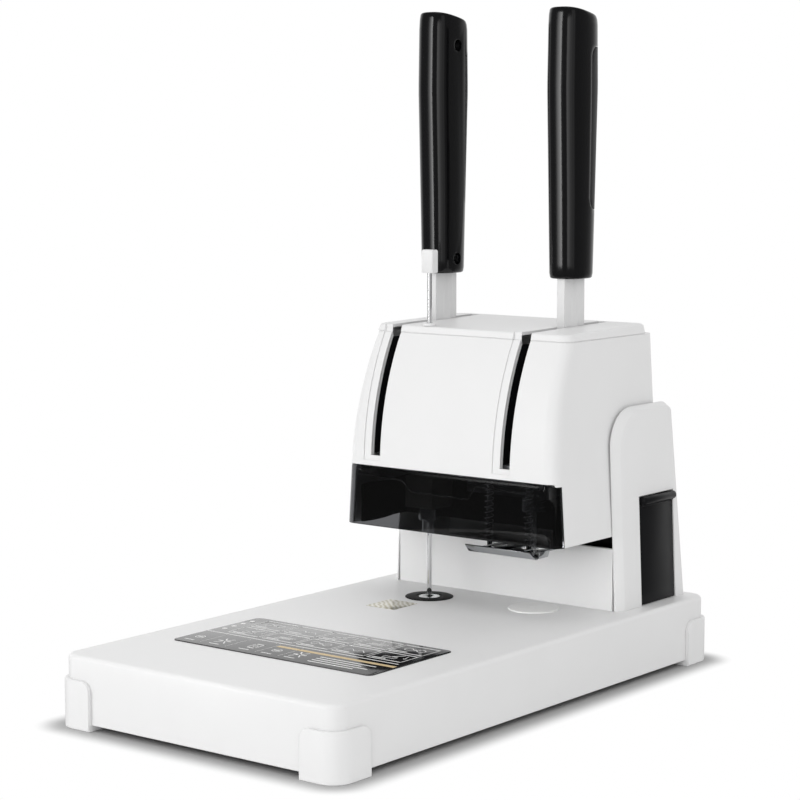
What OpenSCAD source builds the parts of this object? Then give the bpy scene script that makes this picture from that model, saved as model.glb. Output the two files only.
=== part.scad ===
// Document riveting machine: a desk machine with two hand levers.
// The right lever drills a stack of paper against a cutting pad, and the left
// lever presses a heated die onto a plastic tube rivet, over a guide rod.
// Lengths are millimetres. Front is -Y, right is +X, up is +Z, and the origin
// is on the ground below the middle of the base.

/* [Base] */
// Width of the base body
base_w = 250; // [240:1:270]
// Length of the base body, front to back
base_l = 459; // [450:1:480]
// Height of the base body
base_h = 47.4; // [44:0.1:52]
// Height of the base body above the ground
base_gap = 4.6; // [3.5:0.1:8]
// Wall thickness of the base cover
base_wall = 3; // [2:0.1:4]
// Radius of the base's upright corners
base_corner_r = 12; // [9:0.5:16]
// Radius of the base's upper edge
base_edge_r = 3.5; // [1:0.5:5]
// Thickness of the steel plate in the base
bed_t = 4; // [3:0.5:6]

/* [Corner guards and feet] */
// Thickness of the corner guards
guard_t = 3; // [2:0.1:4]
// Height of the corner guards
guard_h = 35; // [28:0.5:42]
// Wrap of a guard along the front or the back
guard_wrap_x = 32; // [26:1:40]
// Wrap of a guard along the side
guard_wrap_y = 35; // [26:1:44]
// Radius of a guard's free upper corner
guard_r = 8; // [3:0.5:12]
// Width of the sole that a guard has under the base
guard_sole = 12; // [6:0.5:18]
// Radius of the rubber feet
foot_r = 10; // [7:0.5:13]

/* [Labels on the base] */
// Size of the instruction plate along X
plate_w = 183; // [160:1:195]
// Size of the instruction plate along Y
plate_l = 94; // [80:1:105]
// Thickness of the instruction plate
plate_t = 0.6; // [0.4:0.1:1.2]
// Middle of the instruction plate along X
plate_x = -1.5; // [-8:0.5:8]
// Middle of the instruction plate along Y
plate_y = -105; // [-120:1:-95]
// Corner radius of the instruction plate
plate_r = 5; // [2:0.5:8]
// Size of the foil patch along X
foil_w = 27.5; // [20:0.5:34]
// Size of the foil patch along Y
foil_l = 30; // [22:0.5:34]
// Thickness of the foil patch
foil_t = 0.2; // [0.1:0.05:0.4]
// Middle of the foil patch along X
foil_x = -45.7; // [-60:0.5:-40]
// Middle of the foil patch along Y
foil_y = 43.5; // [30:0.5:46]

/* [Riveting point] */
// Riveting axis along X
rivet_x = -42; // [-46:0.5:-42]
// Riveting axis along Y
rivet_y = 86.5; // [86:0.1:88]
// Outer radius of the black die ring
die_ring_r = 19; // [17:0.5:21]
// Height of the die ring above the base
die_ring_rise = 0.6; // [0.3:0.1:1.2]
// Radius of the lower die
die_r = 8.5; // [7:0.5:10]
// Radius of the guide rod
rod_r = 2; // [1.8:0.05:2.2]
// Height of the guide rod's tip above the base
rod_tip_gap = 0.9; // [0.6:0.1:2]
// Length of the guide rod, with its knob
rod_l = 271.6; // [265:0.1:285]

/* [Drilling point] */
// Drilling axis along X
drill_x = 49; // [48:0.5:50]
// Drilling axis along Y
drill_y = 99; // [98:0.5:99.5]
// Radius of the cutting pad
pad_r = 19.7; // [17:0.1:21]
// Height of the cutting pad above the base
pad_rise = 1; // [0.6:0.1:1.2]
// Depth of the cutting pad below the base's top
pad_depth = 3; // [2:0.1:5]
// Outer radius of the hollow drill
drill_r = 3; // [2:0.1:3.5]

/* [Column] */
// Half width over the column's cheeks, at the base
column_half = 110; // [110:0.5:114]
// Thickness of the cheeks
cheek_t = 5.6; // [4.5:0.1:5.7]
// Inward lean of the cheeks, in degrees
cheek_lean = 2.5; // [2.3:0.1:2.5]
// Front face of the column
column_front = 126.5; // [126:0.5:128]
// Height of the column's front panel
front_panel_h = 48; // [40:1:54]
// Top of the cheeks above the ground
cheek_top = 206.5; // [200:0.5:215]
// Back of the column, at the base
column_back = 218.5; // [217:0.5:222]
// Forward lean of the column's back, over the height of the cheeks
back_lean = 10.5; // [8:0.5:11]
// Radius of the cheeks' upper front corner
cheek_r = 30; // [24:1:34]
// Bevel of the cheeks' outer edge
cheek_bevel = 7; // [3:0.5:8]

/* [Waste bin] */
// Front edge of the waste bin
bin_y = 157; // [155:0.5:158]
// Width of the waste bin along Y
bin_l = 49.7; // [46:0.1:50]
// Height of the waste bin's front
bin_h = 78; // [70:0.5:80]
// Height of the finger lip on top of the bin's front
bin_lip_h = 7; // [5:0.5:9]
// How far the finger lip stands proud
bin_lip_out = 3.5; // [2:0.5:4]
// Depth of the waste bin into the column
bin_depth = 70; // [50:1:74]

/* [Head] */
// Underside of the head above the ground
head_z = 109.5; // [108:0.5:112]
// Half width of the head at its underside
head_half = 101.5; // [101:0.1:101.6]
// Inward lean of the head's sides, in degrees
head_lean = 3.7; // [3.6:0.1:3.8]
// Front face of the head at its underside
head_front = 53.5; // [51:0.5:54]
// Back face of the head
head_back = 200.5; // [198:0.5:201.5]
// Radius of the head's upright corners
head_corner_r = 10; // [6:0.5:12]
// Wall of the head's shell
head_wall = 2.4; // [1.8:0.1:2.6]
// Radius of the front's backward curve
brow_r = 212; // [205:1:240]
// Joint between the head and its cap, above the ground
seam_z = 259.5; // [258:0.5:264]
// Height of the cap at its front
cap_h = 5.8; // [5:0.1:8]
// Rise of the cap's top towards the back
cap_rise = 2.1; // [0:0.1:3]
// Back edge of the cap
cap_back = 192; // [190:0.5:194]

/* [Smoked cover] */
// Height of the smoked cover
cover_h = 47.5; // [44:0.5:50]
// Wall of the smoked cover
cover_wall = 2.2; // [1.6:0.1:2.6]
// Wrap of the smoked cover round the head's sides
cover_wrap = 9.2; // [8:0.1:12]

/* [Levers] */
// Middle of the rivet lever along X
rivet_lever_x = -70; // [-70.5:0.1:-69.5]
// Middle of the punch lever along X
punch_lever_x = 53; // [52.5:0.1:53.5]
// Lever shaft along Y
pivot_y = 140.5; // [140:0.1:142]
// Lever shaft above the ground
pivot_z = 190; // [189:0.1:191]
// Radius of the lever shaft
shaft_r = 6; // [5:0.1:7]
// Thickness of the lever arms
arm_t = 7; // [6:0.1:7.5]
// Width of the lever arms
arm_w = 27; // [24:0.5:28]
// Width of the lever slots
slot_w = 9.6; // [9:0.1:10]
// Lower end of the lever slots above the ground
slot_z = 165; // [160:0.5:170]
// Back end of the lever slots
slot_back = 185; // [178:0.5:186]
// Lower end of the grips above the ground
grip_z = 303.5; // [298:0.5:312]
// Length of the grips
grip_l = 206; // [190:1:220]
// Half thickness of a grip along X, at its thickest
grip_hx = 16; // [14:0.1:17]
// Half depth of a grip along Y, at its deepest
grip_hy = 21; // [18:0.1:23]
// Turn of the rivet lever from rest to its stop, in degrees
rivet_turn = 85; // [60:1:85]
// Turn of the punch lever from rest to its stop, in degrees
punch_turn = 75.5; // [60:0.5:75.5]
// Radius of the screws in the grips
screw_r = 3; // [2.5:0.1:3.5]

/* [Rack and pinion] */
// Teeth on a whole pinion
pinion_teeth = 34; // [33:1:34]
// Module of the teeth
tooth_m = 2; // [1.95:0.01:2]
// Width of the pinions and racks
gear_w = 9.5; // [8:0.1:10]
// Play between meshing tooth flanks
tooth_play = 0.3; // [0.2:0.05:0.5]

/* [Press foot and springs] */
// Height of the press foot's underside above the base, at rest
foot_rise = 46; // [46:0.1:54]
// Thickness of the press foot's sheet
foot_sheet = 1.4; // [1:0.1:2]
// Width of the press foot along X
foot_w = 65; // [58:1:66]
// Length of the press foot along Y
foot_l = 56; // [54:0.5:57]
// Height of the press foot's folded edges
foot_flange = 6; // [4:0.5:9]
// Distance between the two press springs
spring_pitch_x = 36; // [34:1:40]
// Mean radius of the press springs' coils
spring_coil_r = 3.2; // [2.9:0.05:3.6]
// Radius of the press springs' wire
spring_wire_r = 0.45; // [0.3:0.05:0.6]
// Curls in a press spring
spring_curls = 14; // [8:1:16]

/* [Hidden] */
$fn = 64;
base_top = base_gap + base_h;
fit_gap = 0.3;      // between parts that move past each other
run_gap = 0.05;     // radial play of a shaft in its bore
eps = 0.02;
lap = 0.5;          // overlap of the solids that one body is built from
floor_t = 3;        // floor under the base
slice_t = 0.02;     // thickness of the outlines that a lofted form spans
arc_steps = 8;      // outline points on a quarter turn
bearing_t = 3;      // steel side plates of the head's frame
pitch_r = tooth_m * pinion_teeth / 2;
ram_travel = pitch_r * rivet_turn * PI / 180;
drill_travel = pitch_r * punch_turn * PI / 180;
rack_y = pivot_y - pitch_r;             // pitch plane of both racks
cover_top = head_z + cover_h;           // where the brow starts to curve
bed_z = base_gap + floor_t + fit_gap;   // underside of the steel bed
post_y = 168;                           // front face of the steel post
post_t = 18;
post_x = [-82, 28];                     // sides of the steel post
side_x = 86.8;                          // inner face of the frame's side plates
side_t = bearing_t;
frame_top = seam_z - 14.5;
beam_z = 146;                           // underside of the post's cross beam
ram_block = [156, 178];                 // lower and upper end of the ram's bearing
bed_half = base_w / 2 - 25;             // half width of the steel bed
bed_front = 50;
knuckle_r = 1.9;                        // hinge knuckles of the smoked cover
cover_pin_r = 0.9;
cover_pin_y = head_front + knuckle_r;
cover_pin_z = cover_top - knuckle_r - fit_gap - 0.1;
ear_x = 84.2;                           // hinge ears of the head's shell
ear_w = 4;
die_rest_z = base_top + ram_travel + 3.6; // underside of the upper die at rest
foot_z = base_top + foot_rise;          // underside of the press foot at rest
pinion_gap = 2.5;                       // between an arm and its pinion
rivet_pinion_x = rivet_lever_x + arm_t / 2 + pinion_gap;
punch_pinion_x = punch_lever_x + arm_t / 2 + pinion_gap + 1;
guide_x = 79.5;                         // guide columns of the drill carriage
guide_r = 4.5;
guide_ys = [97, 112];
lug_z = 112;                            // underside of the lower guide lug
lug_t = 5;                              // thickness of the guide lugs
ram_r = 9;
bush_r = 12;                            // outer radius of the ram's bush
ram_web_x = -28;                        // web between the ram and the drill
ram_web_t = 4;
arm_top = grip_z + grip_l - 18;         // upper end of the lever arms in the grips
arm_hub_r = 11;
screw_heights = [grip_z + 11.5, grip_z + grip_l - 27];
screw_seat = 4;                         // grip wall under a screw's head
grip_flat = 1.5;                        // cut off a grip's side for its flat inner face
pad_bottom = 52.5;                      // ends of the back pad, from the grip's lower end
pad_top = 175.5;
pad_in_y = 10.5;                        // front edge of the pad behind the pivot, inside
pad_out_y = 3;                          // and on the outer side
pad_corner_r = 8;
pad_sink = 0.3;                         // how far the pad lies below the grip's surface
core_half = 9;                          // core of the grip that holds the arm
core_wall = 1.2;
spring_y = 66.2;                        // press springs along Y
foot_rod_end_r = 1.5;                   // ends of the press foot's rods
foot_lean = 3.5;                        // outward lean of the press foot's front edge
foot_side_lean = 1.5;                   // and of its right edge
foot_side_l = 20;                       // depth of the press foot's wide part
foot_step = 15;                         // its rear is that much narrower, clear of the guides
recess_w = 6.6;                         // shallow step beside each lever slot
cap_step = 1.6;                         // depth of that step in the cap's front
rack_span = [178, 252];                 // lower and upper end of both racks
rack_back_y = 95;
heater_top = die_rest_z + 42;
ram_top = rack_span[1] - 14;
motor_l = 48;
motor_shaft_r = 2;
spring_xs = [drill_x - spring_pitch_x / 2, drill_x + spring_pitch_x / 2];
motor_x = drill_x - 33;                 // motor beside the drill spindle
motor_r = 15.5;
spindle_pulley_r = 11;
motor_pulley_r = 8;
belt_t = 1.5;
carriage_z = 140;                       // underside of the drill carriage
bearing_block_h = 10;
nose_h = 12;                            // chuck below the carriage
pulley_z = carriage_z + bearing_block_h + 2;
pulley_h = 10;
bracket_z = pulley_z + 10;              // bracket over the press springs
bracket_t = 5;
motor_plate_t = 2.5;                    // plate under the motor
motor_z = pulley_z + pulley_h + 4;      // underside of the motor
die_depth = 8;                          // depth of the lower die below the base's top
knob_w = 11;
knob_l = 8;
knob_h = 18;

// Colours of the finishes
white_paint = [0.86, 0.86, 0.85];
black_plastic = [0.07, 0.07, 0.08];
steel = [0.62, 0.63, 0.65];
bright_steel = [0.80, 0.81, 0.83];
bronze = [0.66, 0.50, 0.28];

// Outline of a rectangle from low to high with corners of radius r.
function rounded_outline(low, high, r) =
  let (c = [[high[0] - r, high[1] - r], [low[0] + r, high[1] - r],
            [low[0] + r, low[1] + r], [high[0] - r, low[1] + r]])
  [for (k = [0:3], i = [0:arc_steps])
    let (a = 90 * k + 90 * i / arc_steps) c[k] + r * [cos(a), sin(a)]];

// Rounded rectangle of true arcs, centred, w by l.
module rounded_rect(w, l, r) {
  square([w - 2 * r, l], center = true);
  square([w, l - 2 * r], center = true);
  for (x = [-1, 1], y = [-1, 1])
    translate([x * (w / 2 - r), y * (l / 2 - r)]) circle(r);
}

// Slab with upright corners of radius r and an upper edge of radius e.
module soft_slab(w, l, h, r, e) {
  linear_extrude(h - e) rounded_rect(w, l, r);
  linear_extrude(h) rounded_rect(w - 2 * e, l - 2 * e, r - e);
  for (x = [-1, 1], y = [-1, 1])
    translate([x * (w / 2 - r), y * (l / 2 - r), h - e])
      rotate_extrude() edge_profile(r, e);
  for (s = [-1, 1]) {
    translate([0, s * (l / 2 - e), h - e]) rotate([90, 0, 90])
      linear_extrude(w - 2 * r, center = true) quarter(e, s);
    translate([s * (w / 2 - e), 0, h - e]) rotate([90, 0, 0])
      linear_extrude(l - 2 * r, center = true) quarter(e, s);
  }
}

module edge_profile(r, e) {
  translate([0, -lap]) square([r - e, e + lap]);
  intersection() {
    translate([r - e, 0]) circle(e);
    translate([r - e - lap, -lap]) square(e + lap);
  }
}

module quarter(e, side) {
  intersection() {
    circle(e);
    translate([side < 0 ? -e : -lap, -lap]) square(e + lap);
  }
}

// Bar along X with its section drawn in Y and Z.
module along_x(x0, x1) {
  translate([x0, 0, 0]) rotate([90, 0, 90]) linear_extrude(x1 - x0) children();
}

module box_between(low, high) {
  translate(low) cube(high - low);
}

module rod_between(x, y, z0, z1, r) {
  translate([x, y, z0]) cylinder(r = r, h = z1 - z0);
}

// ---- Base ----

module base_cover() {
  color(white_paint) difference() {
    translate([0, 0, base_gap])
      soft_slab(base_w, base_l, base_h, base_corner_r, base_edge_r);
    translate([0, 0, base_gap - eps])
      linear_extrude(base_h - base_wall + eps)
        rounded_rect(base_w - 2 * base_wall, base_l - 2 * base_wall,
                     base_corner_r - base_wall);
    rod_between(rivet_x, rivet_y, base_top - 2 * base_wall, base_top + 1,
                die_ring_r - 2);
    rod_between(drill_x, drill_y, base_top - 2 * base_wall, base_top + 1,
                pad_r + run_gap);
    box_between([post_x[0] - 2, post_y - 2, base_top - 2 * base_wall],
                [post_x[1] + 2, post_y + post_t + 2, base_top + 1]);
  }
}

module base_floor() {
  color("dimgray") translate([0, 0, base_gap]) linear_extrude(floor_t)
    rounded_rect(base_w - 2 * base_wall - 2 * fit_gap,
                 base_l - 2 * base_wall - 2 * fit_gap,
                 base_corner_r - base_wall - fit_gap);
}

// Steel bed under the work points, with the pillars that carry the die and pad.
module base_bed() {
  color(steel) {
    box_between([-bed_half, bed_front, bed_z - fit_gap],
                [bed_half, column_back + 3.5, bed_z + bed_t]);
    rod_between(rivet_x, rivet_y, bed_z, base_top - die_depth, 14);
    difference() {
      rod_between(drill_x, drill_y, bed_z, base_top - run_gap, pad_r + 3);
      rod_between(drill_x, drill_y, base_top - pad_depth, base_top + 1,
                  pad_r + run_gap);
      rod_between(drill_x, drill_y, base_top - base_wall, base_top + 1,
                  pad_r + 4);
    }
  }
}

module corner_guard(sx, sy) {
  outer_x = base_w / 2 + guard_t;
  outer_y = base_l / 2 + guard_t;
  color(white_paint) mirror([sx < 0 ? 1 : 0, 0, 0])
    mirror([0, sy < 0 ? 1 : 0, 0]) {
      intersection() {
        difference() {
          linear_extrude(guard_h)
            rounded_rect(2 * outer_x, 2 * outer_y, base_corner_r + guard_t);
          translate([0, 0, -1]) linear_extrude(guard_h + 2)
            rounded_rect(base_w + 0.1, base_l + 0.1, base_corner_r);
        }
        union() {
          translate([outer_x - guard_wrap_x, outer_y + 1, 0])
            rotate([90, 0, 0]) linear_extrude(base_corner_r + guard_t)
              guard_side(guard_wrap_x + 1);
          translate([outer_x - base_corner_r - guard_t, outer_y - guard_wrap_y, 0])
            rotate([90, 0, 90]) linear_extrude(base_corner_r + guard_t + 1)
              guard_side(guard_wrap_y + 1);
        }
      }
      intersection() {
        linear_extrude(base_gap - run_gap)
          rounded_rect(base_w + 1, base_l + 1, base_corner_r);
        difference() {
          box_between([outer_x - guard_wrap_x, outer_y - guard_wrap_y, 0],
                      [outer_x, outer_y, base_gap]);
          box_between([outer_x - guard_wrap_x - 1, outer_y - guard_wrap_y - 1, -1],
                      [outer_x - guard_sole, outer_y - guard_sole, base_gap + 1]);
        }
      }
    }
}

// A guard's side seen square on: its far upper corner is rounded.
module guard_side(w) {
  square([w, guard_h - guard_r]);
  translate([guard_r, 0]) square([w - guard_r, guard_h]);
  translate([guard_r, guard_h - guard_r]) circle(guard_r);
}

module guard_front_left() { corner_guard(-1, -1); }
module guard_front_right() { corner_guard(1, -1); }
module guard_back_left() { corner_guard(-1, 1); }
module guard_back_right() { corner_guard(1, 1); }

module rubber_feet() {
  inset = guard_sole + foot_r + 8;
  color(black_plastic) for (x = [-1, 1], y = [-1, 1])
    translate([x * (base_w / 2 - inset), y * (base_l / 2 - inset), 0])
      cylinder(r = foot_r, h = base_gap);
}

module instruction_plate() {
  color([0.09, 0.09, 0.1]) translate([plate_x, plate_y, base_top])
    linear_extrude(plate_t) rounded_rect(plate_w, plate_l, plate_r);
}

module foil_patch() {
  color([0.75, 0.72, 0.6]) translate([foil_x, foil_y, base_top])
    linear_extrude(foil_t) rounded_rect(foil_w, foil_l, 1);
}

module lower_die_ring() {
  color(black_plastic) difference() {
    union() {
      rod_between(rivet_x, rivet_y, base_top, base_top + die_ring_rise, die_ring_r);
      rod_between(rivet_x, rivet_y, base_top - die_depth, base_top + eps,
                  die_ring_r - 2 - run_gap);
    }
    rod_between(rivet_x, rivet_y, base_top - die_depth - 1, base_top + 2,
                die_r + run_gap);
  }
}

module lower_die() {
  color(bright_steel) difference() {
    rod_between(rivet_x, rivet_y, base_top - die_depth, base_top + die_ring_rise, die_r);
    rod_between(rivet_x, rivet_y, base_top - 5, base_top + 2, rod_r + 0.6);
    translate([rivet_x, rivet_y, base_top + die_ring_rise - 0.6])
      cylinder(r1 = rod_r + 0.6, r2 = rod_r + 2.6, h = 1);
  }
}

module cutting_pad() {
  color([0.93, 0.93, 0.92])
    rod_between(drill_x, drill_y, base_top - pad_depth, base_top + pad_rise, pad_r);
}

module control_board() {
  board_z = bed_z + bed_t + 3;
  color([0.1, 0.35, 0.2]) {
    box_between([-90, -60, board_z], [60, 30, board_z + 1.6]);
    for (x = [-84, 54], y = [-54, 24])
      rod_between(x, y, base_gap + floor_t, board_z, 3);
    box_between([-70, -40, board_z], [-35, -10, board_z + 22]);
    for (i = [0:3])
      rod_between(-10 + 15 * i, 5, board_z, board_z + 16, 6);
    box_between([-20, -45, board_z], [40, -20, board_z + 8]);
  }
}

// ---- Column ----

cheek_h = cheek_top - base_top;
cheek_back_top = column_back - back_lean;

// Side view of a cheek, drawn back by the bevel b along its front and top.
function cheek_outline(b, r) =
  let (y0 = column_front + b, z1 = cheek_top - b / 2)
  concat([[column_back, base_top], [y0, base_top]],
         [for (i = [0:arc_steps * 2])
           let (a = 180 - 90 * i / (arc_steps * 2))
           [y0 + r + r * cos(a), z1 - r + r * sin(a)]],
         [[cheek_back_top - 8, z1], [cheek_back_top, z1 - 5]]);

// One cheek, standing at x = 0 with its outer face towards +X.
module cheek() {
  hull() {
    along_x(-cheek_t, -cheek_t + slice_t) polygon(cheek_outline(0, cheek_r));
    along_x(-cheek_t + 0.6, -cheek_t + 0.62) polygon(cheek_outline(0, cheek_r));
    along_x(-slice_t, 0) polygon(cheek_outline(cheek_bevel, cheek_r - 2));
  }
}

module leaned_cheek(side) {
  mirror([side < 0 ? 1 : 0, 0, 0])
    translate([column_half, 0, base_top]) rotate([0, -cheek_lean, 0])
      translate([0, 0, -base_top]) cheek();
}

module column_housing() {
  panel_half = column_half - cheek_t - 0.2;
  color(white_paint) {
    difference() {
      union() {
        intersection() {
          union() { leaned_cheek(-1); leaned_cheek(1); }
          box_between([-column_half - 20, column_front - 20, base_top],
                      [column_half + 20, column_back + 20, cheek_top + 20]);
        }
        box_between([-panel_half, column_front, base_top],
                    [panel_half, column_front + 3, base_top + front_panel_h - 4]);
        box_between([-panel_half + 2, column_front, base_top + front_panel_h - 5],
                    [panel_half - 2, column_front + 3, base_top + front_panel_h]);
      }
      box_between([80, bin_y, base_top - 1],
                  [130, bin_y + bin_l, base_top + bin_h + bin_lip_h]);
    }
  }
}

// Places what is on the back cover: x across, y up the cover, z into the column.
module on_back_cover() {
  translate([0, column_back - 1, base_top]) rotate([atan(back_lean / cheek_h), 0, 0])
    rotate([90, 0, 0]) children();
}

inlet_x = -60;       // middle of the power inlet
switch_x = -20;      // middle of the power switch
fitting_up = 27;     // height of both above the base

module column_back_cover() {
  inner = column_half - cheek_t - fit_gap;
  drop = cheek_h * tan(cheek_lean);
  color(white_paint) difference() {
    on_back_cover() linear_extrude(3)
      polygon([[-inner, 0.5], [inner, 0.5], [inner - drop, cheek_h - 8],
               [-inner + drop, cheek_h - 8]]);
    on_back_cover() {
      translate([inlet_x, fitting_up]) inlet_body(fit_gap);
      translate([switch_x, fitting_up]) switch_body(fit_gap);
    }
  }
}

module column_post() {
  color(steel) {
    box_between([post_x[0], post_y, bed_z + bed_t], [post_x[1], post_y + post_t, beam_z]);
    box_between([-side_x - side_t, post_y, beam_z - eps],
                [side_x + side_t, post_y + post_t, frame_top - 5]);
  }
}

bin_z = base_top + 0.4;
bin_back = bin_y + bin_l;

module waste_bin() {
  face = column_half - 0.6;
  tray_x = face - bin_depth;
  tray_top = head_z - 2;
  color(black_plastic) {
    difference() {
      box_between([tray_x, bin_y + 1.5, bin_z], [face - 3.5, bin_back - 1.5, tray_top]);
      box_between([tray_x + 2, bin_y + 3.5, bin_z + 2], [face - 8.5, bin_back - 3.5, tray_top + 1]);
    }
    translate([face, 0, base_top]) rotate([0, -cheek_lean, 0]) {
      box_between([-4, bin_y + fit_gap, 0.5], [0, bin_back - fit_gap, bin_h]);
      hull() {
        box_between([-3, bin_y + 3, bin_h - 2], [0, bin_back - fit_gap, bin_h]);
        translate([0, bin_y + 4, bin_h + bin_lip_h / 2 - 0.5]) rotate([-90, 0, 0])
          cylinder(r = bin_lip_h / 2 - 0.2, h = bin_l - 4 - fit_gap, $fn = 24);
        translate([bin_lip_out - 2, bin_y + 7, bin_h + bin_lip_h / 2 - 0.5])
          rotate([-90, 0, 0]) cylinder(r = bin_lip_h / 2 - 0.5, h = bin_l - 7.5, $fn = 24);
      }
    }
  }
}

// Body of the power inlet, grown by g.
module inlet_body(g) {
  translate([-15 - g, -13 - g, -1]) cube([30 + 2 * g, 26 + 2 * g, 24]);
}

module power_inlet() {
  on_back_cover() translate([inlet_x, fitting_up]) {
    color(black_plastic) difference() {
      union() {
        translate([-18.5, -16, -2]) cube([37, 32, 2]);
        inlet_body(0);
      }
      translate([-12, -9, -3]) cube([24, 18, 22]);
    }
    color(bright_steel) for (dx = [-7, 0, 7])
      translate([dx - 1, dx == 0 ? 1 : -5, 7]) cube([2, 4, 13]);
  }
}

// Body of the power switch, grown by g.
module switch_body(g) {
  translate([-11.5 - g, -10 - g, -1]) cube([23 + 2 * g, 20 + 2 * g, 18]);
}

module switch_frame() {
  color(black_plastic) on_back_cover() translate([switch_x, fitting_up]) difference() {
    union() {
      translate([-14, -12.5, -2]) cube([28, 25, 2]);
      switch_body(0);
    }
    translate([-9, -8.2, -3]) cube([18, 16.4, 17]);
  }
}

rocker_depth = 4;    // rocker's axis below the back cover's outer face

// Rocker seen from the side, tipped so that its lower half stands proud.
module power_switch() {
  color(black_plastic) on_back_cover()
    translate([switch_x - 8.6, fitting_up, rocker_depth]) rotate([90, 0, 90])
      linear_extrude(17.2) rotate(-6)
        polygon([[-6.6, -5.4], [0, -3.8], [6.6, -5.4], [6, 2], [3, 5], [-3, 5], [-6, 2]]);
}

// ---- Head ----

function half_at(z) = head_half - (z - head_z) * tan(head_lean);
function front_at(z) = z <= cover_top ? head_front
  : head_front + brow_r - sqrt(brow_r * brow_r - pow(z - cover_top, 2));

function head_outline(z, inset) =
  rounded_outline([-half_at(z) + inset, front_at(z) + inset],
                  [half_at(z) - inset, head_back - inset],
                  head_corner_r - inset / 2);

// The head's closed form, drawn in by inset, from z0 to z1.
module head_form(inset, z0, z1) {
  levels = concat([z0], [for (i = [0:8]) let (z = cover_top + i * 12)
    if (z > z0 && z < z1 - 2) z], [z1 - slice_t]);
  hull() for (z = levels)
    translate([0, 0, z]) linear_extrude(slice_t) polygon(head_outline(z, inset));
}

module at_levers() {
  for (x = [rivet_lever_x, punch_lever_x]) translate([x, 0, 0]) children();
}

module head_shell() {
  color(white_paint) {
    difference() {
      head_form(0, head_z, seam_z);
      head_form(head_wall, head_z - 1, seam_z - head_wall);
      translate([0, 0, seam_z - 3 * head_wall]) linear_extrude(4 * head_wall)
        polygon(rounded_outline(
          [-half_at(seam_z) + head_wall, front_at(seam_z) + head_wall],
          [half_at(seam_z) - head_wall, cap_back - head_wall], 6));
      box_between([-150, 0, head_z - 1],
                  [150, head_front + cover_wrap + 0.5, cover_pin_z + fit_gap]);
      box_between([-150, 0, head_z - 1],
                  [150, cover_pin_y + knuckle_r + fit_gap, cover_top]);
      at_levers() box_between([-slot_w / 2, 0, slot_z], [slot_w / 2, 110, seam_z + 40]);
      difference() {
        at_levers() box_between([-slot_w / 2 - recess_w, 0, slot_z - 4],
                                [slot_w / 2, 110, seam_z + 40]);
        head_form(0.8, head_z - 2, seam_z + 2);
      }
    }
    for (s = [-1, 1]) cover_ear(s);
  }
}

// Hinge ear of the smoked cover, a tab below the shell's front wall.
module cover_ear(s) {
  x0 = s > 0 ? ear_x : -ear_x - ear_w;
  difference() {
    union() {
      along_x(x0, x0 + ear_w) translate([cover_pin_y, cover_pin_z]) circle(knuckle_r - 0.15);
      box_between([x0, head_front + 0.3, cover_pin_z],
                  [x0 + ear_w, cover_pin_y + knuckle_r - 0.3, cover_top + 2]);
    }
    along_x(x0 - 1, x0 + ear_w + 1) translate([cover_pin_y, cover_pin_z])
      circle(cover_pin_r);
  }
}

// The cap's closed form, drawn in by inset, with its top lowered by as much.
module cap_form(inset) {
  tilt = atan(cap_rise / (cap_back - front_at(seam_z)));
  y0 = front_at(seam_z);
  hull() {
    translate([0, 0, seam_z - (inset > 0 ? 1 : 0)]) linear_extrude(slice_t)
      polygon(cap_outline(inset));
    translate([0, y0, seam_z + cap_h - 2.4 - inset]) rotate([tilt, 0, 0])
      translate([0, -y0, 0]) linear_extrude(slice_t) polygon(cap_outline(inset + 0.8));
    translate([0, y0, seam_z + cap_h - 0.7 - inset]) rotate([tilt, 0, 0])
      translate([0, -y0, 0]) linear_extrude(slice_t) polygon(cap_outline(inset + 1.4));
    translate([0, y0, seam_z + cap_h - inset]) rotate([tilt, 0, 0])
      translate([0, -y0, 0]) linear_extrude(slice_t) polygon(cap_outline(inset + 2.6));
  }
}

function cap_outline(inset) =
  rounded_outline([-half_at(seam_z) + inset, front_at(seam_z) + inset],
                  [half_at(seam_z) - inset, cap_back - inset], 8);

module head_cap() {
  color(white_paint) difference() {
    cap_form(0);
    cap_form(head_wall);
    at_levers() box_between([-slot_w / 2, 0, seam_z - 20],
                            [slot_w / 2, slot_back, seam_z + 40]);
    at_levers() box_between([-slot_w / 2 - recess_w, 0, seam_z - 1],
                            [slot_w / 2, front_at(seam_z) + cap_step, seam_z + 40]);
    rod_between(rivet_x, rivet_y, seam_z - 20, seam_z + 40, rod_r + 0.5);
  }
}

// Steel frame: side plates, the ram's block and the guide columns' plates.
module head_frame() {
  plate_front = 78;
  lug_back = guide_ys[1] + 6;
  color(steel) difference() {
    union() {
      for (x = [-side_x - side_t, side_x]) {
        along_x(x, x + side_t) polygon([[plate_front + 4, carriage_z], [lug_back, carriage_z],
          [lug_back, ram_block[0] - 4], [post_y, ram_block[0] - 4], [post_y, frame_top],
          [plate_front + 6, frame_top], [plate_front, frame_top - 35]]);
      }
      box_between([side_x - lap, plate_front + 4, lug_z],
                  [side_x + side_t, lug_back, carriage_z + 1]);
      for (z = [lug_z, frame_top - lug_t])
        box_between([guide_x - 6.5, guide_ys[0] - 6, z], [side_x + lap, lug_back, z + lug_t]);
      box_between([ram_web_x, 74, ram_block[0]],
                  [ram_web_x + ram_web_t, post_y, pivot_z + 40]);
      box_between([rivet_x - 11.5, rivet_y - 13, ram_block[0]],
                  [ram_web_x + lap, post_y, ram_block[1]]);
    }
    along_x(-100, 100) translate([pivot_y, pivot_z]) circle(shaft_r);
    for (y = guide_ys) rod_between(guide_x, y, lug_z - 1, frame_top + 1, guide_r);
    rod_between(rivet_x, rivet_y, ram_block[0] - 1, ram_block[1] + 1, bush_r);
  }
}

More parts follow.
